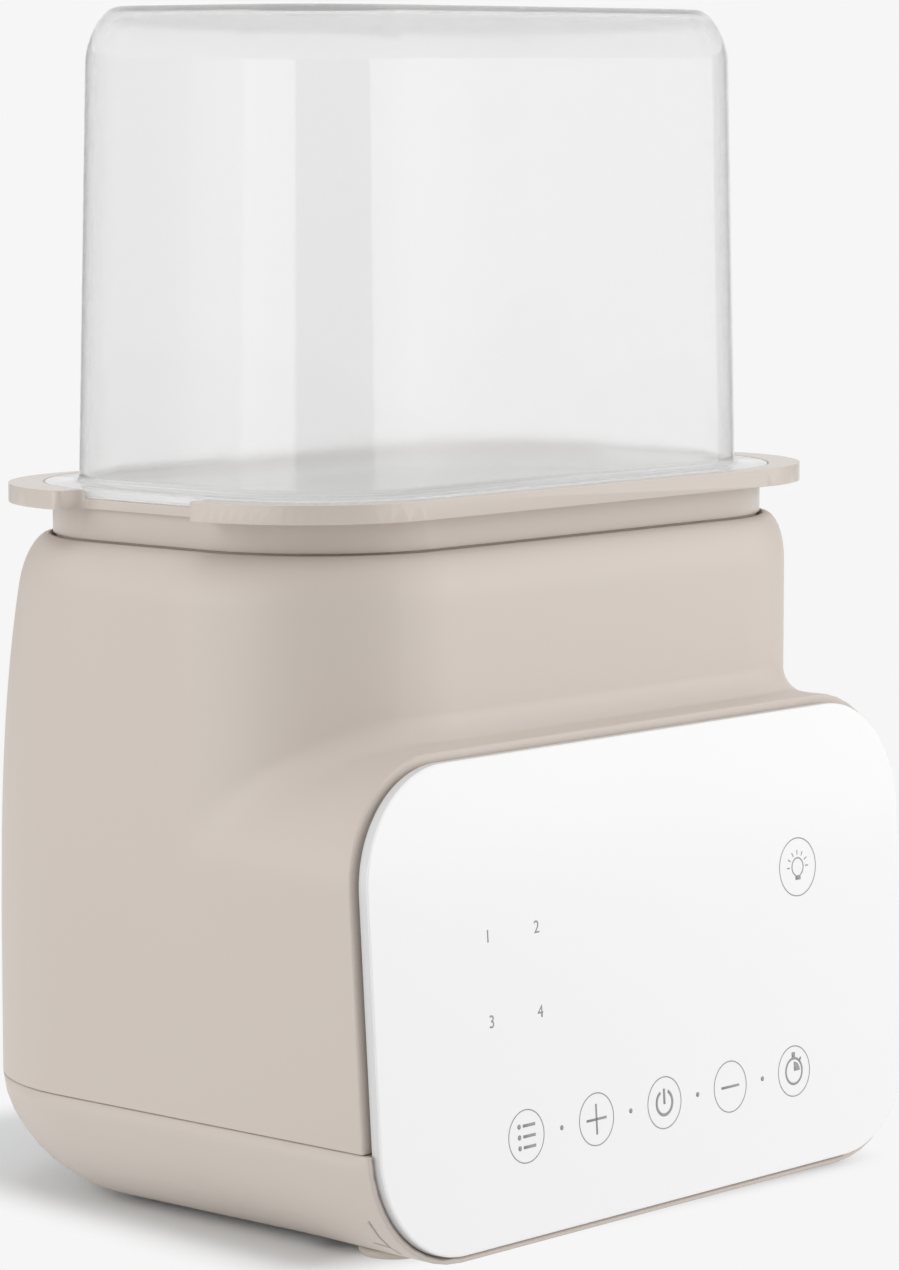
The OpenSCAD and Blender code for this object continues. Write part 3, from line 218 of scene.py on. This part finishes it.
# Housing: one tall shell whose front grows into the leaning console, moulded in the tray's beige.
# The rim at its top carries the ring, and its ledge inside carries the tank.
housing = finished("housing_shell", joined_skin("main_housing"), [beige_satin], "root", "beige_plastic",
                   "main_housing")
even_shading(housing)


# Gland: a round rubber bushing pressed into the back wall, with the bore for the lead.
# Its flange lies flush in a recess of the housing.
gland_rubber = satin_plastic("gland_rubber", (0.46, 0.41, 0.36), 0.6, grain_mm=0.3)
finished("cord_bushing", joined_skin("cord_gland"), [gland_rubber], "root", "gland_grey", "cord_gland")


# Parts on the control board: foam pads under the keys, a digit display, light boxes and a flat cable.
# The pads, the display and the light boxes sit at the console's windows and sense or shine through the panel.
dress(satin_plastic("conductive_foam", (0.05, 0.05, 0.055), 0.85, grain_mm=0.6, grain_depth_mm=0.1),
      "touch_pads")
dress(satin_plastic("light_box_white", (0.80, 0.80, 0.77), 0.45), "display_module", "indicator_leds")
dress(satin_plastic("flat_cable_white", (0.74, 0.74, 0.74), 0.4, grain_mm=1.2), "ribbon_cable")


# Touch panel: a thick gloss-white acrylic plate on a smaller backing, bonded to the console's leaning face.
# Its front edge is polished and it stands proud of the beige rim. Its sawn sides are painted a shade greyer:
# painted shade where they face away from the light.
PANEL_LEAN = math.radians(3.77)
PANEL_T = 2.6 * MM
PANEL_CORNER = 27.0 * MM
PANEL_EDGE = 0.6 * MM
BACKING_T = 0.9 * MM
BACKING_IN = 2.0 * MM
panel_low, panel_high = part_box("touch_panel")
panel_w = panel_high.x - panel_low.x
panel_h = (panel_high.z - panel_low.z - PANEL_T * math.sin(PANEL_LEAN)) / math.cos(PANEL_LEAN)
panel_foot = Vector((0.0, panel_low.y, panel_low.z + PANEL_T * math.sin(PANEL_LEAN)))
on_panel = Matrix.Translation(panel_foot) @ Matrix.Rotation(math.pi / 2 - PANEL_LEAN, 4, "X")


def gloss_acrylic(name, colour, roughness):
    """Polished acrylic with the faint waviness of a pressed sheet."""
    material = bpy.data.materials.new(name)
    material.use_nodes = True
    nodes, links = material.node_tree.nodes, material.node_tree.links
    shader = nodes["Principled BSDF"]
    shader.inputs["Base Color"].default_value = (*colour, 1.0)
    shader.inputs["Specular IOR Level"].default_value = 0.45
    place = nodes.new("ShaderNodeTexCoord")
    haze = nodes.new("ShaderNodeTexNoise")
    haze.inputs["Scale"].default_value = 60.0
    haze.inputs["Detail"].default_value = 4.0
    gloss = nodes.new("ShaderNodeMapRange")
    gloss.inputs["To Min"].default_value = roughness - 0.03
    gloss.inputs["To Max"].default_value = roughness + 0.03
    wave = nodes.new("ShaderNodeBump")
    wave.inputs["Strength"].default_value = 0.2
    wave.inputs["Distance"].default_value = 0.02 * MM
    links.new(place.outputs["Object"], haze.inputs["Vector"])
    links.new(haze.outputs["Fac"], gloss.inputs["Value"])
    links.new(gloss.outputs["Result"], shader.inputs["Roughness"])
    links.new(haze.outputs["Fac"], wave.inputs["Height"])
    links.new(wave.outputs["Normal"], shader.inputs["Normal"])
    return material


panel = bmesh.new()
bmesh.ops.create_cube(panel, size=1.0)
bmesh.ops.scale(panel, vec=(panel_w, panel_h, PANEL_T), verts=panel.verts)
bmesh.ops.translate(panel, vec=(0.0, panel_h / 2, -PANEL_T / 2), verts=panel.verts)
upright = [e for e in panel.edges if abs(e.verts[0].co.z - e.verts[1].co.z) > PANEL_T / 2]
bmesh.ops.bevel(panel, geom=upright, offset=PANEL_CORNER, segments=28, profile=0.5, affect="EDGES",
                material=-1)
front_rim = [e for e in panel.edges if all(v.co.z > -PANEL_T / 4 for v in e.verts)]
bmesh.ops.bevel(panel, geom=front_rim, offset=PANEL_EDGE, segments=4, profile=0.5, affect="EDGES",
                material=-1)
panel_back = [f for f in panel.faces if all(v.co.z < -PANEL_T * 0.9 for v in f.verts)]
bmesh.ops.inset_region(panel, faces=panel_back, thickness=BACKING_IN, use_even_offset=True)
for vert in {v for f in panel_back for v in f.verts}:
    vert.co.z = -PANEL_T
backing = bmesh.ops.extrude_face_region(panel, geom=panel_back)["geom"]
backing_verts = [g for g in backing if isinstance(g, bmesh.types.BMVert)]
bmesh.ops.translate(panel, vec=(0.0, 0.0, -BACKING_T), verts=backing_verts)
bmesh.ops.delete(panel, geom=panel_back, context="FACES")
bmesh.ops.recalc_face_normals(panel, faces=panel.faces)
# Faces that look neither front nor back take the greyer copy of the acrylic: painted shade on the sides.
for face in panel.faces:
    face.material_index = int(abs(face.normal.z) < 0.5)
bmesh.ops.transform(panel, matrix=on_panel, verts=panel.verts)
panel_white = gloss_acrylic("gloss_white_acrylic", (0.87, 0.87, 0.87), 0.13)
panel_side_shade = gloss_acrylic("white_acrylic_painted_side_shade", (0.68, 0.68, 0.68), 0.25)
touch_panel = finished("touch_panel_plate", panel, [panel_white, panel_side_shade], "root", "panel_white",
                       "touch_panel")
even_shading(touch_panel)


# Printed symbols: thin grey ink screen-printed on the panel, with one ringed symbol for each touch key, dots
# between the keys, and plain numerals where the four modes light up.
INK_T = 0.03 * MM
KEY_LINE = 0.27 * MM
SYMBOL_LINE = 0.75 * MM
SIGN_LINE = 0.6 * MM
DOT_R = 0.6 * MM
KEY_R = 6.15 * MM
KEY_PITCH = 24.9 * MM
KEY_SHIFT = 1.35 * MM
KEY_UP = 23.8 * MM
ink = satin_plastic("grey_ink", (0.31, 0.31, 0.31), 0.5, grain_mm=0.2, grain_depth_mm=0.004)


def ring_line(bm, radius, line, centre=(0.0, 0.0), start=0.0, turn=360.0):
    """Arc of a printed line round a centre: a short radial edge spun about it."""
    place = Matrix.Translation((*centre, 0.0)) @ Matrix.Rotation(math.radians(start), 4, "Z")
    reaches = (radius - line / 2, radius + line / 2)
    ends = [bm.verts.new(place @ Vector((reach, 0.0, 0.0))) for reach in reaches]
    edge = bm.edges.new(ends)
    bmesh.ops.spin(bm, geom=[*ends, edge], cent=(*centre, 0.0), axis=(0, 0, 1), angle=math.radians(turn),
                   steps=max(4, round(turn / 6)), use_merge=turn >= 360.0, use_duplicate=False)


def bar_line(bm, length, line, centre=(0.0, 0.0), angle=0.0):
    """Straight printed line about a centre."""
    turn = Matrix.Translation((*centre, 0.0)) @ Matrix.Rotation(math.radians(angle), 4, "Z")
    stretch = Matrix.Diagonal((length, line, 1, 1))
    bmesh.ops.create_grid(bm, x_segments=1, y_segments=1, size=0.5, matrix=turn @ stretch)


def dot(bm, radius, centre=(0.0, 0.0)):
    """Round printed dot."""
    place = Matrix.Translation((*centre, 0.0))
    bmesh.ops.create_circle(bm, cap_ends=True, segments=20, radius=radius, matrix=place)


def printed(piece_name, bm, place):
    """Lays a flat symbol on the panel's front and gives the ink its thickness."""
    bm.normal_update()
    bmesh.ops.reverse_faces(bm, faces=[f for f in bm.faces if f.normal.z < 0])
    lift = Matrix.Translation((place[0], place[1], INK_T / 2))
    bmesh.ops.transform(bm, matrix=on_panel @ lift, verts=bm.verts)
    piece = finished(piece_name, bm, [ink], "root", "panel_white")
    film = piece.modifiers.new("ink_film", "SOLIDIFY")
    film.thickness = INK_T
    film.offset = 0.0


def key_place(index):
    """Centre of a touch key, counted from the middle of the row."""
    return KEY_SHIFT + index * KEY_PITCH, KEY_UP


LIST_PITCH = 2.5 * MM
LIST_LENGTH = 4.3 * MM
LIST_LINE = 0.7 * MM
LIST_LINE_X = 1.05 * MM
LIST_DOT_X = -2.4 * MM
mode_symbol = bmesh.new()
ring_line(mode_symbol, KEY_R, KEY_LINE)
for row in (-1, 0, 1):
    dot(mode_symbol, DOT_R, (LIST_DOT_X, row * LIST_PITCH))
    bar_line(mode_symbol, LIST_LENGTH, LIST_LINE, (LIST_LINE_X, row * LIST_PITCH))
printed("symbol_mode", mode_symbol, key_place(-2))

PLUS_LENGTH = 7.2 * MM
plus_symbol = bmesh.new()
ring_line(plus_symbol, KEY_R, KEY_LINE)
for angle in (0.0, 90.0):
    bar_line(plus_symbol, PLUS_LENGTH, SIGN_LINE, angle=angle)
printed("symbol_plus", plus_symbol, key_place(-1))

POWER_R = 2.9 * MM
POWER_GAP = 56.0
POWER_STROKE = 3.7 * MM
POWER_STROKE_UP = 1.5 * MM
power_symbol = bmesh.new()
ring_line(power_symbol, KEY_R, KEY_LINE)
ring_line(power_symbol, POWER_R, SYMBOL_LINE, start=90.0 + POWER_GAP / 2, turn=360.0 - POWER_GAP)
bar_line(power_symbol, POWER_STROKE, SYMBOL_LINE, (0.0, POWER_STROKE_UP), 90.0)
printed("symbol_power", power_symbol, key_place(0))

MINUS_LENGTH = 6.8 * MM
minus_symbol = bmesh.new()
ring_line(minus_symbol, KEY_R, KEY_LINE)
bar_line(minus_symbol, MINUS_LENGTH, SIGN_LINE)
printed("symbol_minus", minus_symbol, key_place(1))

WATCH_R = 3.15 * MM
WEDGE_R = 2.3 * MM
WEDGE_HOLE = 0.1 * MM
KNOB_PLACE = (0.0, 4.05 * MM)
KNOB_H = 1.2 * MM
KNOB_W = 1.3 * MM
BUTTON_PLACE = (2.6 * MM, 2.75 * MM)
BUTTON_H = 0.9 * MM
timer_symbol = bmesh.new()
ring_line(timer_symbol, KEY_R, KEY_LINE)
ring_line(timer_symbol, WATCH_R, SIGN_LINE)
ring_line(timer_symbol, (WEDGE_R + WEDGE_HOLE) / 2, WEDGE_R - WEDGE_HOLE, turn=90.0)
bar_line(timer_symbol, KNOB_H, KNOB_W, KNOB_PLACE, 90.0)
bar_line(timer_symbol, BUTTON_H, SIGN_LINE, BUTTON_PLACE, 45.0)
printed("symbol_timer", timer_symbol, key_place(2))

LAMP_R = 7.1 * MM
LAMP_PLACE = (56.1 * MM, 73.5 * MM)
BULB_R = 2.2 * MM
BULB_LINE = 0.35 * MM
BULB_GAP = 50.0
SOCKET_W = 2.0 * MM
SOCKET_H = 1.1 * MM
SOCKET_PLACE = (0.0, -2.6 * MM)
RAY_REACH = 3.6 * MM
RAY_LENGTH = 1.1 * MM
RAY_LINE = 0.3 * MM
lamp_symbol = bmesh.new()
ring_line(lamp_symbol, LAMP_R, KEY_LINE)
ring_line(lamp_symbol, BULB_R, BULB_LINE, start=-90.0 + BULB_GAP / 2, turn=360.0 - BULB_GAP)
bar_line(lamp_symbol, SOCKET_W, SOCKET_H, SOCKET_PLACE)
for angle in range(0, 181, 30):
    turn = math.radians(angle)
    ray_middle = (RAY_REACH * math.cos(turn), RAY_REACH * math.sin(turn))
    bar_line(lamp_symbol, RAY_LENGTH, RAY_LINE, ray_middle, angle)
printed("symbol_lamp", lamp_symbol, LAMP_PLACE)

dots = bmesh.new()
for gap in (-1.5, -0.5, 0.5, 1.5):
    dot(dots, DOT_R, (gap * KEY_PITCH, 0.0))
printed("key_dots", dots, (KEY_SHIFT, KEY_UP))

NUMERAL_H = 4.2 * MM
MODE_PLACES = {"1": (-58.4, 71.2), "2": (-41.5, 71.2), "3": (-58.4, 51.6), "4": (-41.5, 51.6)}
for figure, (across, up) in MODE_PLACES.items():
    letter = bpy.data.curves.new("numeral", "FONT")
    letter.body = figure
    letter.size = NUMERAL_H
    letter.align_x = "CENTER"
    letter.align_y = "CENTER"
    holder = bpy.data.objects.new("numeral", letter)
    flat = bpy.data.meshes.new_from_object(holder)
    numeral = bmesh.new()
    numeral.from_mesh(flat)
    printed(f"mode_numeral_{figure}", numeral, (across * MM, up * MM))
    bpy.data.objects.remove(holder)
    bpy.data.curves.remove(letter)
    bpy.data.meshes.remove(flat)


# Tank: a deep-drawn aluminium tub with a satin inside, hung by its flange on the housing's ledge.
# A silicone gasket lies below the flange, and four screws hold it.
tank_metal = plated_metal("drawn_aluminium", (0.75, 0.75, 0.76), 0.38, mark_mm=0.7)
finished("aluminium_tank", joined_skin("water_tank"), [tank_metal], "root", "tank_aluminium", "water_tank")


# Ring: the beige lifting ring with the neck below it, moulded in one piece, a little glossier than the body,
# and notched at both ends for the fingers. The basket hangs in it and the dome stands in its recess.
RING_EDGE = 0.8 * MM
ring_satin = satin_plastic("beige_ring_plastic", BEIGE, 0.24)
lift_ring = finished("lifting_ring", joined_skin("basket_ring"), [ring_satin], "basket_body", "beige_plastic",
                     "basket_ring")
mould_radius = lift_ring.modifiers.new("mould_radius", "BEVEL")
mould_radius.width = RING_EDGE
mould_radius.segments = 3
mould_radius.limit_method = "ANGLE"
mould_radius.angle_limit = math.radians(40.0)
mould_radius.use_clamp_overlap = True
mould_radius.harden_normals = True


# Basket: a light grey drained tub for two bottles, moulded in polypropylene, whose flange lies in the ring.
# It lifts out with the ring, and water drains from the holes in its floor.
basket_grey = satin_plastic("light_grey_polypropylene", (0.72, 0.72, 0.715), 0.45)
finished("bottle_basket", joined_skin("basket"), [basket_grey], "basket_body", "basket_grey", "basket")


# Dome: a clear steam cover moulded in one shot, with drafted walls, a steep shoulder below a flat top, a flat
# rim in the ring and a skirt that centres it. The plastic is faintly milky, most at its rim, and three vents
# let steam out. A little more milkiness at its top is painted light, which stands in for light carried along
# the wall.
DOME_WALL = 2.4 * MM
SHOULDER_IN = 5.9 * MM
SHOULDER_DOWN = 6.9 * MM
SHOULDER_BEND = 6.0 * MM
TOP_BEND = 2.2 * MM
DOME_FOOT_R = 2.0 * MM
DOME_RIM_R = 38.9 * MM
DOME_FOOT = 30.7 * MM
DOME_DRAFT = 2.4 * MM
SKIRT_OUT = 32.3 * MM
SKIRT_IN = 30.5 * MM
SKIRT_H = 3.5 * MM
RIM_T = 2.0 * MM
RIM_EDGE = 0.4 * MM
VENT_R = 2.0 * MM
VENT_PITCH = 12.0 * MM
CORNER_STEPS = 24
dome_low, dome_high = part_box("dome_cover")
well_centre = (dome_low + dome_high) / 2
core_x = dome_high.x - DOME_RIM_R
core_y = (dome_high.y - dome_low.y) / 2 - DOME_RIM_R
rim_low = dome_low.z + SKIRT_H
rim_top = rim_low + RIM_T
ceiling = dome_high.z - DOME_WALL

clear_plastic = bpy.data.materials.new("clear_polypropylene")
clear_plastic.use_nodes = True
clear_nodes, clear_links = clear_plastic.node_tree.nodes, clear_plastic.node_tree.links
clear_shader = clear_nodes["Principled BSDF"]
clear_shader.inputs["Base Color"].default_value = (0.974, 0.974, 0.974, 1.0)
clear_shader.inputs["IOR"].default_value = 1.45
clear_place = clear_nodes.new("ShaderNodeTexCoord")
flow = clear_nodes.new("ShaderNodeTexNoise")
flow.inputs["Scale"].default_value = 18.0
flow.inputs["Detail"].default_value = 3.0
clear_gloss = clear_nodes.new("ShaderNodeMapRange")
clear_gloss.inputs["To Min"].default_value = 0.09
clear_gloss.inputs["To Max"].default_value = 0.13
height = clear_nodes.new("ShaderNodeSeparateXYZ")
milk = clear_nodes.new("ShaderNodeMapRange")
milk.inputs["From Min"].default_value = rim_top
milk.inputs["From Max"].default_value = rim_top + DOME_FOOT_R
milk.inputs["To Min"].default_value = 0.62
milk.inputs["To Max"].default_value = 0.94
# Milkier top: painted light, standing in for light that the clear wall would carry round to it.
top_painted_light = clear_nodes.new("ShaderNodeMapRange")
top_painted_light.inputs["From Min"].default_value = ceiling - TOP_BEND / 2
top_painted_light.inputs["From Max"].default_value = ceiling
top_painted_light.inputs["To Min"].default_value = 1.0
top_painted_light.inputs["To Max"].default_value = 0.84
clearness = clear_nodes.new("ShaderNodeMath")
clearness.operation = "MULTIPLY"
tint = clear_nodes.new("ShaderNodeVolumeAbsorption")
tint.inputs["Color"].default_value = (0.5, 0.5, 0.5, 1.0)
tint.inputs["Density"].default_value = 13.0
clear_links.new(clear_place.outputs["Object"], flow.inputs["Vector"])
clear_links.new(flow.outputs["Fac"], clear_gloss.inputs["Value"])
clear_links.new(clear_gloss.outputs["Result"], clear_shader.inputs["Roughness"])
clear_links.new(clear_place.outputs["Object"], height.inputs["Vector"])
clear_links.new(height.outputs["Z"], milk.inputs["Value"])
clear_links.new(height.outputs["Z"], top_painted_light.inputs["Value"])
clear_links.new(milk.outputs["Result"], clearness.inputs[0])
clear_links.new(top_painted_light.outputs["Result"], clearness.inputs[1])
clear_links.new(clearness.outputs["Value"], clear_shader.inputs["Transmission Weight"])
clear_links.new(tint.outputs["Volume"], clear_nodes["Material Output"].inputs["Volume"])


def rounded_profile(bm, points):
    """Chain of edges through (out, height, radius) points in the plane of a corner, its bends rounded."""
    chain = [bm.verts.new((core_x, well_centre.y - core_y - out, height)) for out, height, _ in points]
    for a, b in zip(chain, chain[1:]):
        bm.edges.new((a, b))
    for vert, (_, _, radius) in list(zip(chain, points)):
        if radius:
            bmesh.ops.bevel(bm, geom=[vert], offset=radius, segments=max(4, round(radius / MM)), profile=0.5,
                            affect="VERTICES", material=-1)
    return bm.edges[:]


def sweep_round_well(bm, edges):
    """Sweeps a profile round the four corners of the well and along the straight runs between them."""
    for quarter in range(4):
        across = -1 if quarter in (2, 3) else 1
        along = 1 if quarter in (1, 2) else -1
        corner = (across * core_x, well_centre.y + along * core_y, 0.0)
        ends = list(dict.fromkeys(v for e in edges for v in e.verts))
        spun = bmesh.ops.spin(bm, geom=edges + ends, cent=corner, axis=(0, 0, 1), angle=math.pi / 2,
                              steps=CORNER_STEPS, use_duplicate=False)
        edges = [g for g in spun["geom_last"] if isinstance(g, bmesh.types.BMEdge)]
        run = ((0, 2 * core_y, 0), (-2 * core_x, 0, 0), (0, -2 * core_y, 0), (2 * core_x, 0, 0))[quarter]
        drawn = bmesh.ops.extrude_edge_only(bm, edges=edges)["geom"]
        ends = [g for g in drawn if isinstance(g, bmesh.types.BMVert)]
        bmesh.ops.translate(bm, vec=run, verts=ends)
        edges = [g for g in drawn if isinstance(g, bmesh.types.BMEdge) and all(v in ends for v in g.verts)]
    bmesh.ops.remove_doubles(bm, verts=bm.verts, dist=MERGED)


dome = bmesh.new()
wall_top = DOME_FOOT - DOME_DRAFT
shoulder = math.atan2(SHOULDER_DOWN, SHOULDER_IN)
inner_in = SHOULDER_IN + DOME_WALL * math.tan(shoulder / 2)
inner_down = SHOULDER_DOWN + DOME_WALL * math.tan((math.pi / 2 - shoulder) / 2)
dome_edges = rounded_profile(dome, [
    (0.0, dome_high.z, 0.0),
    (wall_top - SHOULDER_IN, dome_high.z, TOP_BEND),
    (wall_top, dome_high.z - SHOULDER_DOWN, SHOULDER_BEND),
    (DOME_FOOT, rim_top, DOME_FOOT_R),
    (DOME_RIM_R, rim_top, RIM_EDGE),
    (DOME_RIM_R, rim_low, RIM_EDGE),
    (SKIRT_OUT, rim_low, 0.0),
    (SKIRT_OUT, dome_low.z, RIM_EDGE),
    (SKIRT_IN, dome_low.z, RIM_EDGE),
    (SKIRT_IN, rim_low, 0.0),
    (DOME_FOOT - DOME_WALL, rim_low, RIM_EDGE),
    (wall_top - DOME_WALL, dome_high.z - inner_down, SHOULDER_BEND - DOME_WALL / 2),
    (wall_top - inner_in, ceiling, TOP_BEND - DOME_WALL / 2),
    (0.0, ceiling, 0.0)])
sweep_round_well(dome, dome_edges)
open_edges = [e for e in dome.edges if e.is_boundary]
for level in (dome_high.z, ceiling):
    border = [e for e in open_edges if abs(e.verts[0].co.z - level) < DOME_WALL / 2]
    for vent in (-1, 0, 1):
        place = Matrix.Translation((vent * VENT_PITCH, well_centre.y, level))
        rim = bmesh.ops.create_circle(dome, cap_ends=False, segments=32, radius=VENT_R, matrix=place)
        border += list(dict.fromkeys(e for v in rim["verts"] for e in v.link_edges))
    bmesh.ops.triangle_fill(dome, use_beauty=True, edges=border)
vent_edges = [e for e in dome.edges if e.is_boundary]
for vent in (-1, 0, 1):
    loop = [e for e in vent_edges if abs(e.verts[0].co.x - vent * VENT_PITCH) < 1.5 * VENT_R]
    bmesh.ops.bridge_loops(dome, edges=loop)
bmesh.ops.recalc_face_normals(dome, faces=dome.faces)
steam_dome = finished("steam_dome", dome, [clear_plastic], "dome_body", "dome_clear", "dome_cover")
steam_dome.visible_shadow = False
steam_dome.visible_diffuse = False


# Floor and background: a plain pale sweep. Close to the object the floor takes the light and its soft shadow,
# and a little further out it fades into the even tone of the background.
BACKGROUND = 0.922
FLOOR_BOUNCE = 0.80
SHADOW_MIDDLE = (0.0, 30.0 * MM, 0.0)
SHADOW_HALF = (79.0 * MM, 80.0 * MM, 1.0)
SHADOW_TURN = math.radians(7.0)
SHADOW_FADE = 26.0 * MM
FLOOR_HALF = 6.0


def seen_directly(nodes, links):
    """Socket that is 1 for rays that show the background: from the camera, through the dome or by gloss."""
    rays = nodes.new("ShaderNodeLightPath")
    seen = rays.outputs["Is Camera Ray"]
    for kind in ("Is Transmission Ray", "Is Glossy Ray"):
        either = nodes.new("ShaderNodeMath")
        either.operation = "MAXIMUM"
        links.new(seen, either.inputs[0])
        links.new(rays.outputs[kind], either.inputs[1])
        seen = either.outputs["Value"]
    return seen


def stage_piece(piece_name, bm, material):
    """Turns a bmesh into a part of the studio, which is no part of the object."""
    mesh = bpy.data.meshes.new(piece_name)
    bm.to_mesh(mesh)
    bm.free()
    mesh.materials.append(material)
    piece = bpy.data.objects.new(piece_name, mesh)
    bpy.context.scene.collection.objects.link(piece)
    return piece


paper = bpy.data.materials.new("pale_paper")
paper.use_nodes = True
paper.cycles.emission_sampling = "NONE"
paper_nodes, paper_links = paper.node_tree.nodes, paper.node_tree.links
paper_shader = paper_nodes["Principled BSDF"]
paper_shader.inputs["Base Color"].default_value = (0.915, 0.935, 0.95, 1.0)
paper_shader.inputs["Roughness"].default_value = 0.9
paper_shader.inputs["Specular IOR Level"].default_value = 0.0
paper_place = paper_nodes.new("ShaderNodeTexCoord")
shadow_turn = paper_nodes.new("ShaderNodeVectorRotate")
shadow_turn.rotation_type = "Z_AXIS"
shadow_turn.inputs["Center"].default_value = SHADOW_MIDDLE
shadow_turn.inputs["Angle"].default_value = SHADOW_TURN
paper_links.new(paper_place.outputs["Object"], shadow_turn.inputs["Vector"])
outside = shadow_turn.outputs["Vector"]
for operation, amount in (("SUBTRACT", SHADOW_MIDDLE), ("ABSOLUTE", None), ("SUBTRACT", SHADOW_HALF),
                          ("MAXIMUM", (0.0, 0.0, 0.0))):
    step = paper_nodes.new("ShaderNodeVectorMath")
    step.operation = operation
    if amount:
        step.inputs[1].default_value = amount
    paper_links.new(outside, step.inputs[0])
    outside = step.outputs["Vector"]
distance = paper_nodes.new("ShaderNodeVectorMath")
distance.operation = "LENGTH"
fading = paper_nodes.new("ShaderNodeMapRange")
fading.interpolation_type = "SMOOTHSTEP"
fading.inputs["From Max"].default_value = SHADOW_FADE
even_tone = paper_nodes.new("ShaderNodeEmission")
bounce = paper_nodes.new("ShaderNodeMix")
bounce.inputs["A"].default_value = FLOOR_BOUNCE
bounce.inputs["B"].default_value = BACKGROUND
blend = paper_nodes.new("ShaderNodeMixShader")
paper_links.new(outside, distance.inputs[0])
paper_links.new(distance.outputs["Value"], fading.inputs["Value"])
paper_links.new(fading.outputs["Result"], blend.inputs["Fac"])
paper_links.new(seen_directly(paper_nodes, paper_links), bounce.inputs["Factor"])
paper_links.new(bounce.outputs["Result"], even_tone.inputs["Strength"])
paper_links.new(paper_shader.outputs["BSDF"], blend.inputs[1])
paper_links.new(even_tone.outputs["Emission"], blend.inputs[2])
paper_links.new(blend.outputs["Shader"], paper_nodes["Material Output"].inputs["Surface"])
floor_bm = bmesh.new()
bmesh.ops.create_grid(floor_bm, x_segments=1, y_segments=1, size=FLOOR_HALF)
stage_piece("studio_floor", floor_bm, paper)

AMBIENT = 0.44
world = bpy.data.worlds.new("studio")
bpy.context.scene.world = world
world.use_nodes = True
sky_nodes, sky_links = world.node_tree.nodes, world.node_tree.links
sky = sky_nodes["Background"]
sky.inputs["Color"].default_value = (1.0, 1.0, 1.0, 1.0)
sky.inputs["Strength"].default_value = AMBIENT
backdrop = sky_nodes.new("ShaderNodeBackground")
backdrop.inputs["Color"].default_value = (1.0, 1.0, 1.0, 1.0)
backdrop.inputs["Strength"].default_value = BACKGROUND
sky_mix = sky_nodes.new("ShaderNodeMixShader")
sky_links.new(seen_directly(sky_nodes, sky_links), sky_mix.inputs["Fac"])
sky_links.new(sky.outputs["Background"], sky_mix.inputs[1])
sky_links.new(backdrop.outputs["Background"], sky_mix.inputs[2])
sky_links.new(sky_mix.outputs["Shader"], sky_nodes["World Output"].inputs["Surface"])


# Studio light: a wide soft box on each side of the camera and one overhead. Upright cards stand for them in
# reflections, bright on both sides of a dark gap and dim further round. They make the dome's upright bands.
OBJECT_MIDDLE = Vector((0.0, 0.0, 0.15))
BOX_SIZE = 1.6
CARD_FAR = 1.3
CARD_TALL = 0.45


def soft_box(lamp_name, bearing, height, far, power):
    """Square lamp at a bearing from the object's left side round to its front, aimed at its middle."""
    lamp = bpy.data.lights.new(lamp_name, "AREA")
    lamp.shape = "SQUARE"
    lamp.size = BOX_SIZE
    lamp.energy = power
    holder = bpy.data.objects.new(lamp_name, lamp)
    turn = math.radians(bearing)
    holder.location = Vector((-far * math.cos(turn), -far * math.sin(turn), height))
    holder.rotation_euler = (OBJECT_MIDDLE - holder.location).to_track_quat("-Z", "Y").to_euler()
    holder.visible_glossy = False
    holder.visible_transmission = False
    bpy.context.scene.collection.objects.link(holder)


def reflected_card(card_name, first, last, brightness):
    """Upright curved card between two bearings, which only mirror reflections see."""
    glow = bpy.data.materials.new(card_name)
    glow.use_nodes = True
    glow_nodes = glow.node_tree.nodes
    light = glow_nodes.new("ShaderNodeEmission")
    light.inputs["Strength"].default_value = brightness
    glow.node_tree.links.new(light.outputs["Emission"], glow_nodes["Material Output"].inputs["Surface"])
    bm = bmesh.new()
    turn = math.radians(first)
    x, y = -CARD_FAR * math.cos(turn), -CARD_FAR * math.sin(turn)
    ends = [bm.verts.new((x, y, z)) for z in (0.0, CARD_TALL)]
    edge = bm.edges.new(ends)
    bmesh.ops.spin(bm, geom=[*ends, edge], cent=(0, 0, 0), axis=(0, 0, 1), angle=math.radians(last - first),
                   steps=12, use_duplicate=False)
    card = stage_piece(card_name, bm, glow)
    card.visible_camera = False
    card.visible_diffuse = False
    card.visible_transmission = False
    card.visible_shadow = False
    card.visible_volume_scatter = False


soft_box("left_box", bearing=-20.0, height=0.5, far=1.6, power=16.0)
soft_box("right_box", bearing=128.0, height=0.5, far=1.6, power=20.3)
soft_box("top_box", bearing=60.0, height=2.2, far=0.4, power=11.0)
reflected_card("left_dim_card", first=-118.0, last=-42.0, brightness=0.45)
reflected_card("left_soft_card", first=-42.0, last=-25.0, brightness=1.6)
reflected_card("left_card", first=-25.0, last=24.0, brightness=2.5)
reflected_card("dark_card", first=24.0, last=92.0, brightness=0.06)
reflected_card("right_card", first=92.0, last=137.0, brightness=2.05)
reflected_card("right_soft_card", first=137.0, last=158.0, brightness=1.6)
reflected_card("right_dim_card", first=158.0, last=196.0, brightness=0.35)


# Camera: a long lens a little below the dome's top, looking down a little on the left front corner.
# Its place, aim and lens were fitted to the edges in the photograph.
SENSOR = 36.0
LENS = 138.0
CAMERA_PLACE = Vector((-875.95, -793.75, 267.65)) * MM
CAMERA_AIM = Vector((0.73895, 0.66418, -0.11319))
camera_data = bpy.data.cameras.new("camera")
camera_data.sensor_width = SENSOR
camera_data.lens = LENS
camera_data.clip_end = 20.0
camera = bpy.data.objects.new("camera", camera_data)
camera.location = CAMERA_PLACE
camera.rotation_euler = CAMERA_AIM.to_track_quat("-Z", "Y").to_euler()
bpy.context.scene.collection.objects.link(camera)
bpy.context.scene.camera = camera
bpy.context.scene.view_settings.view_transform = "Standard"
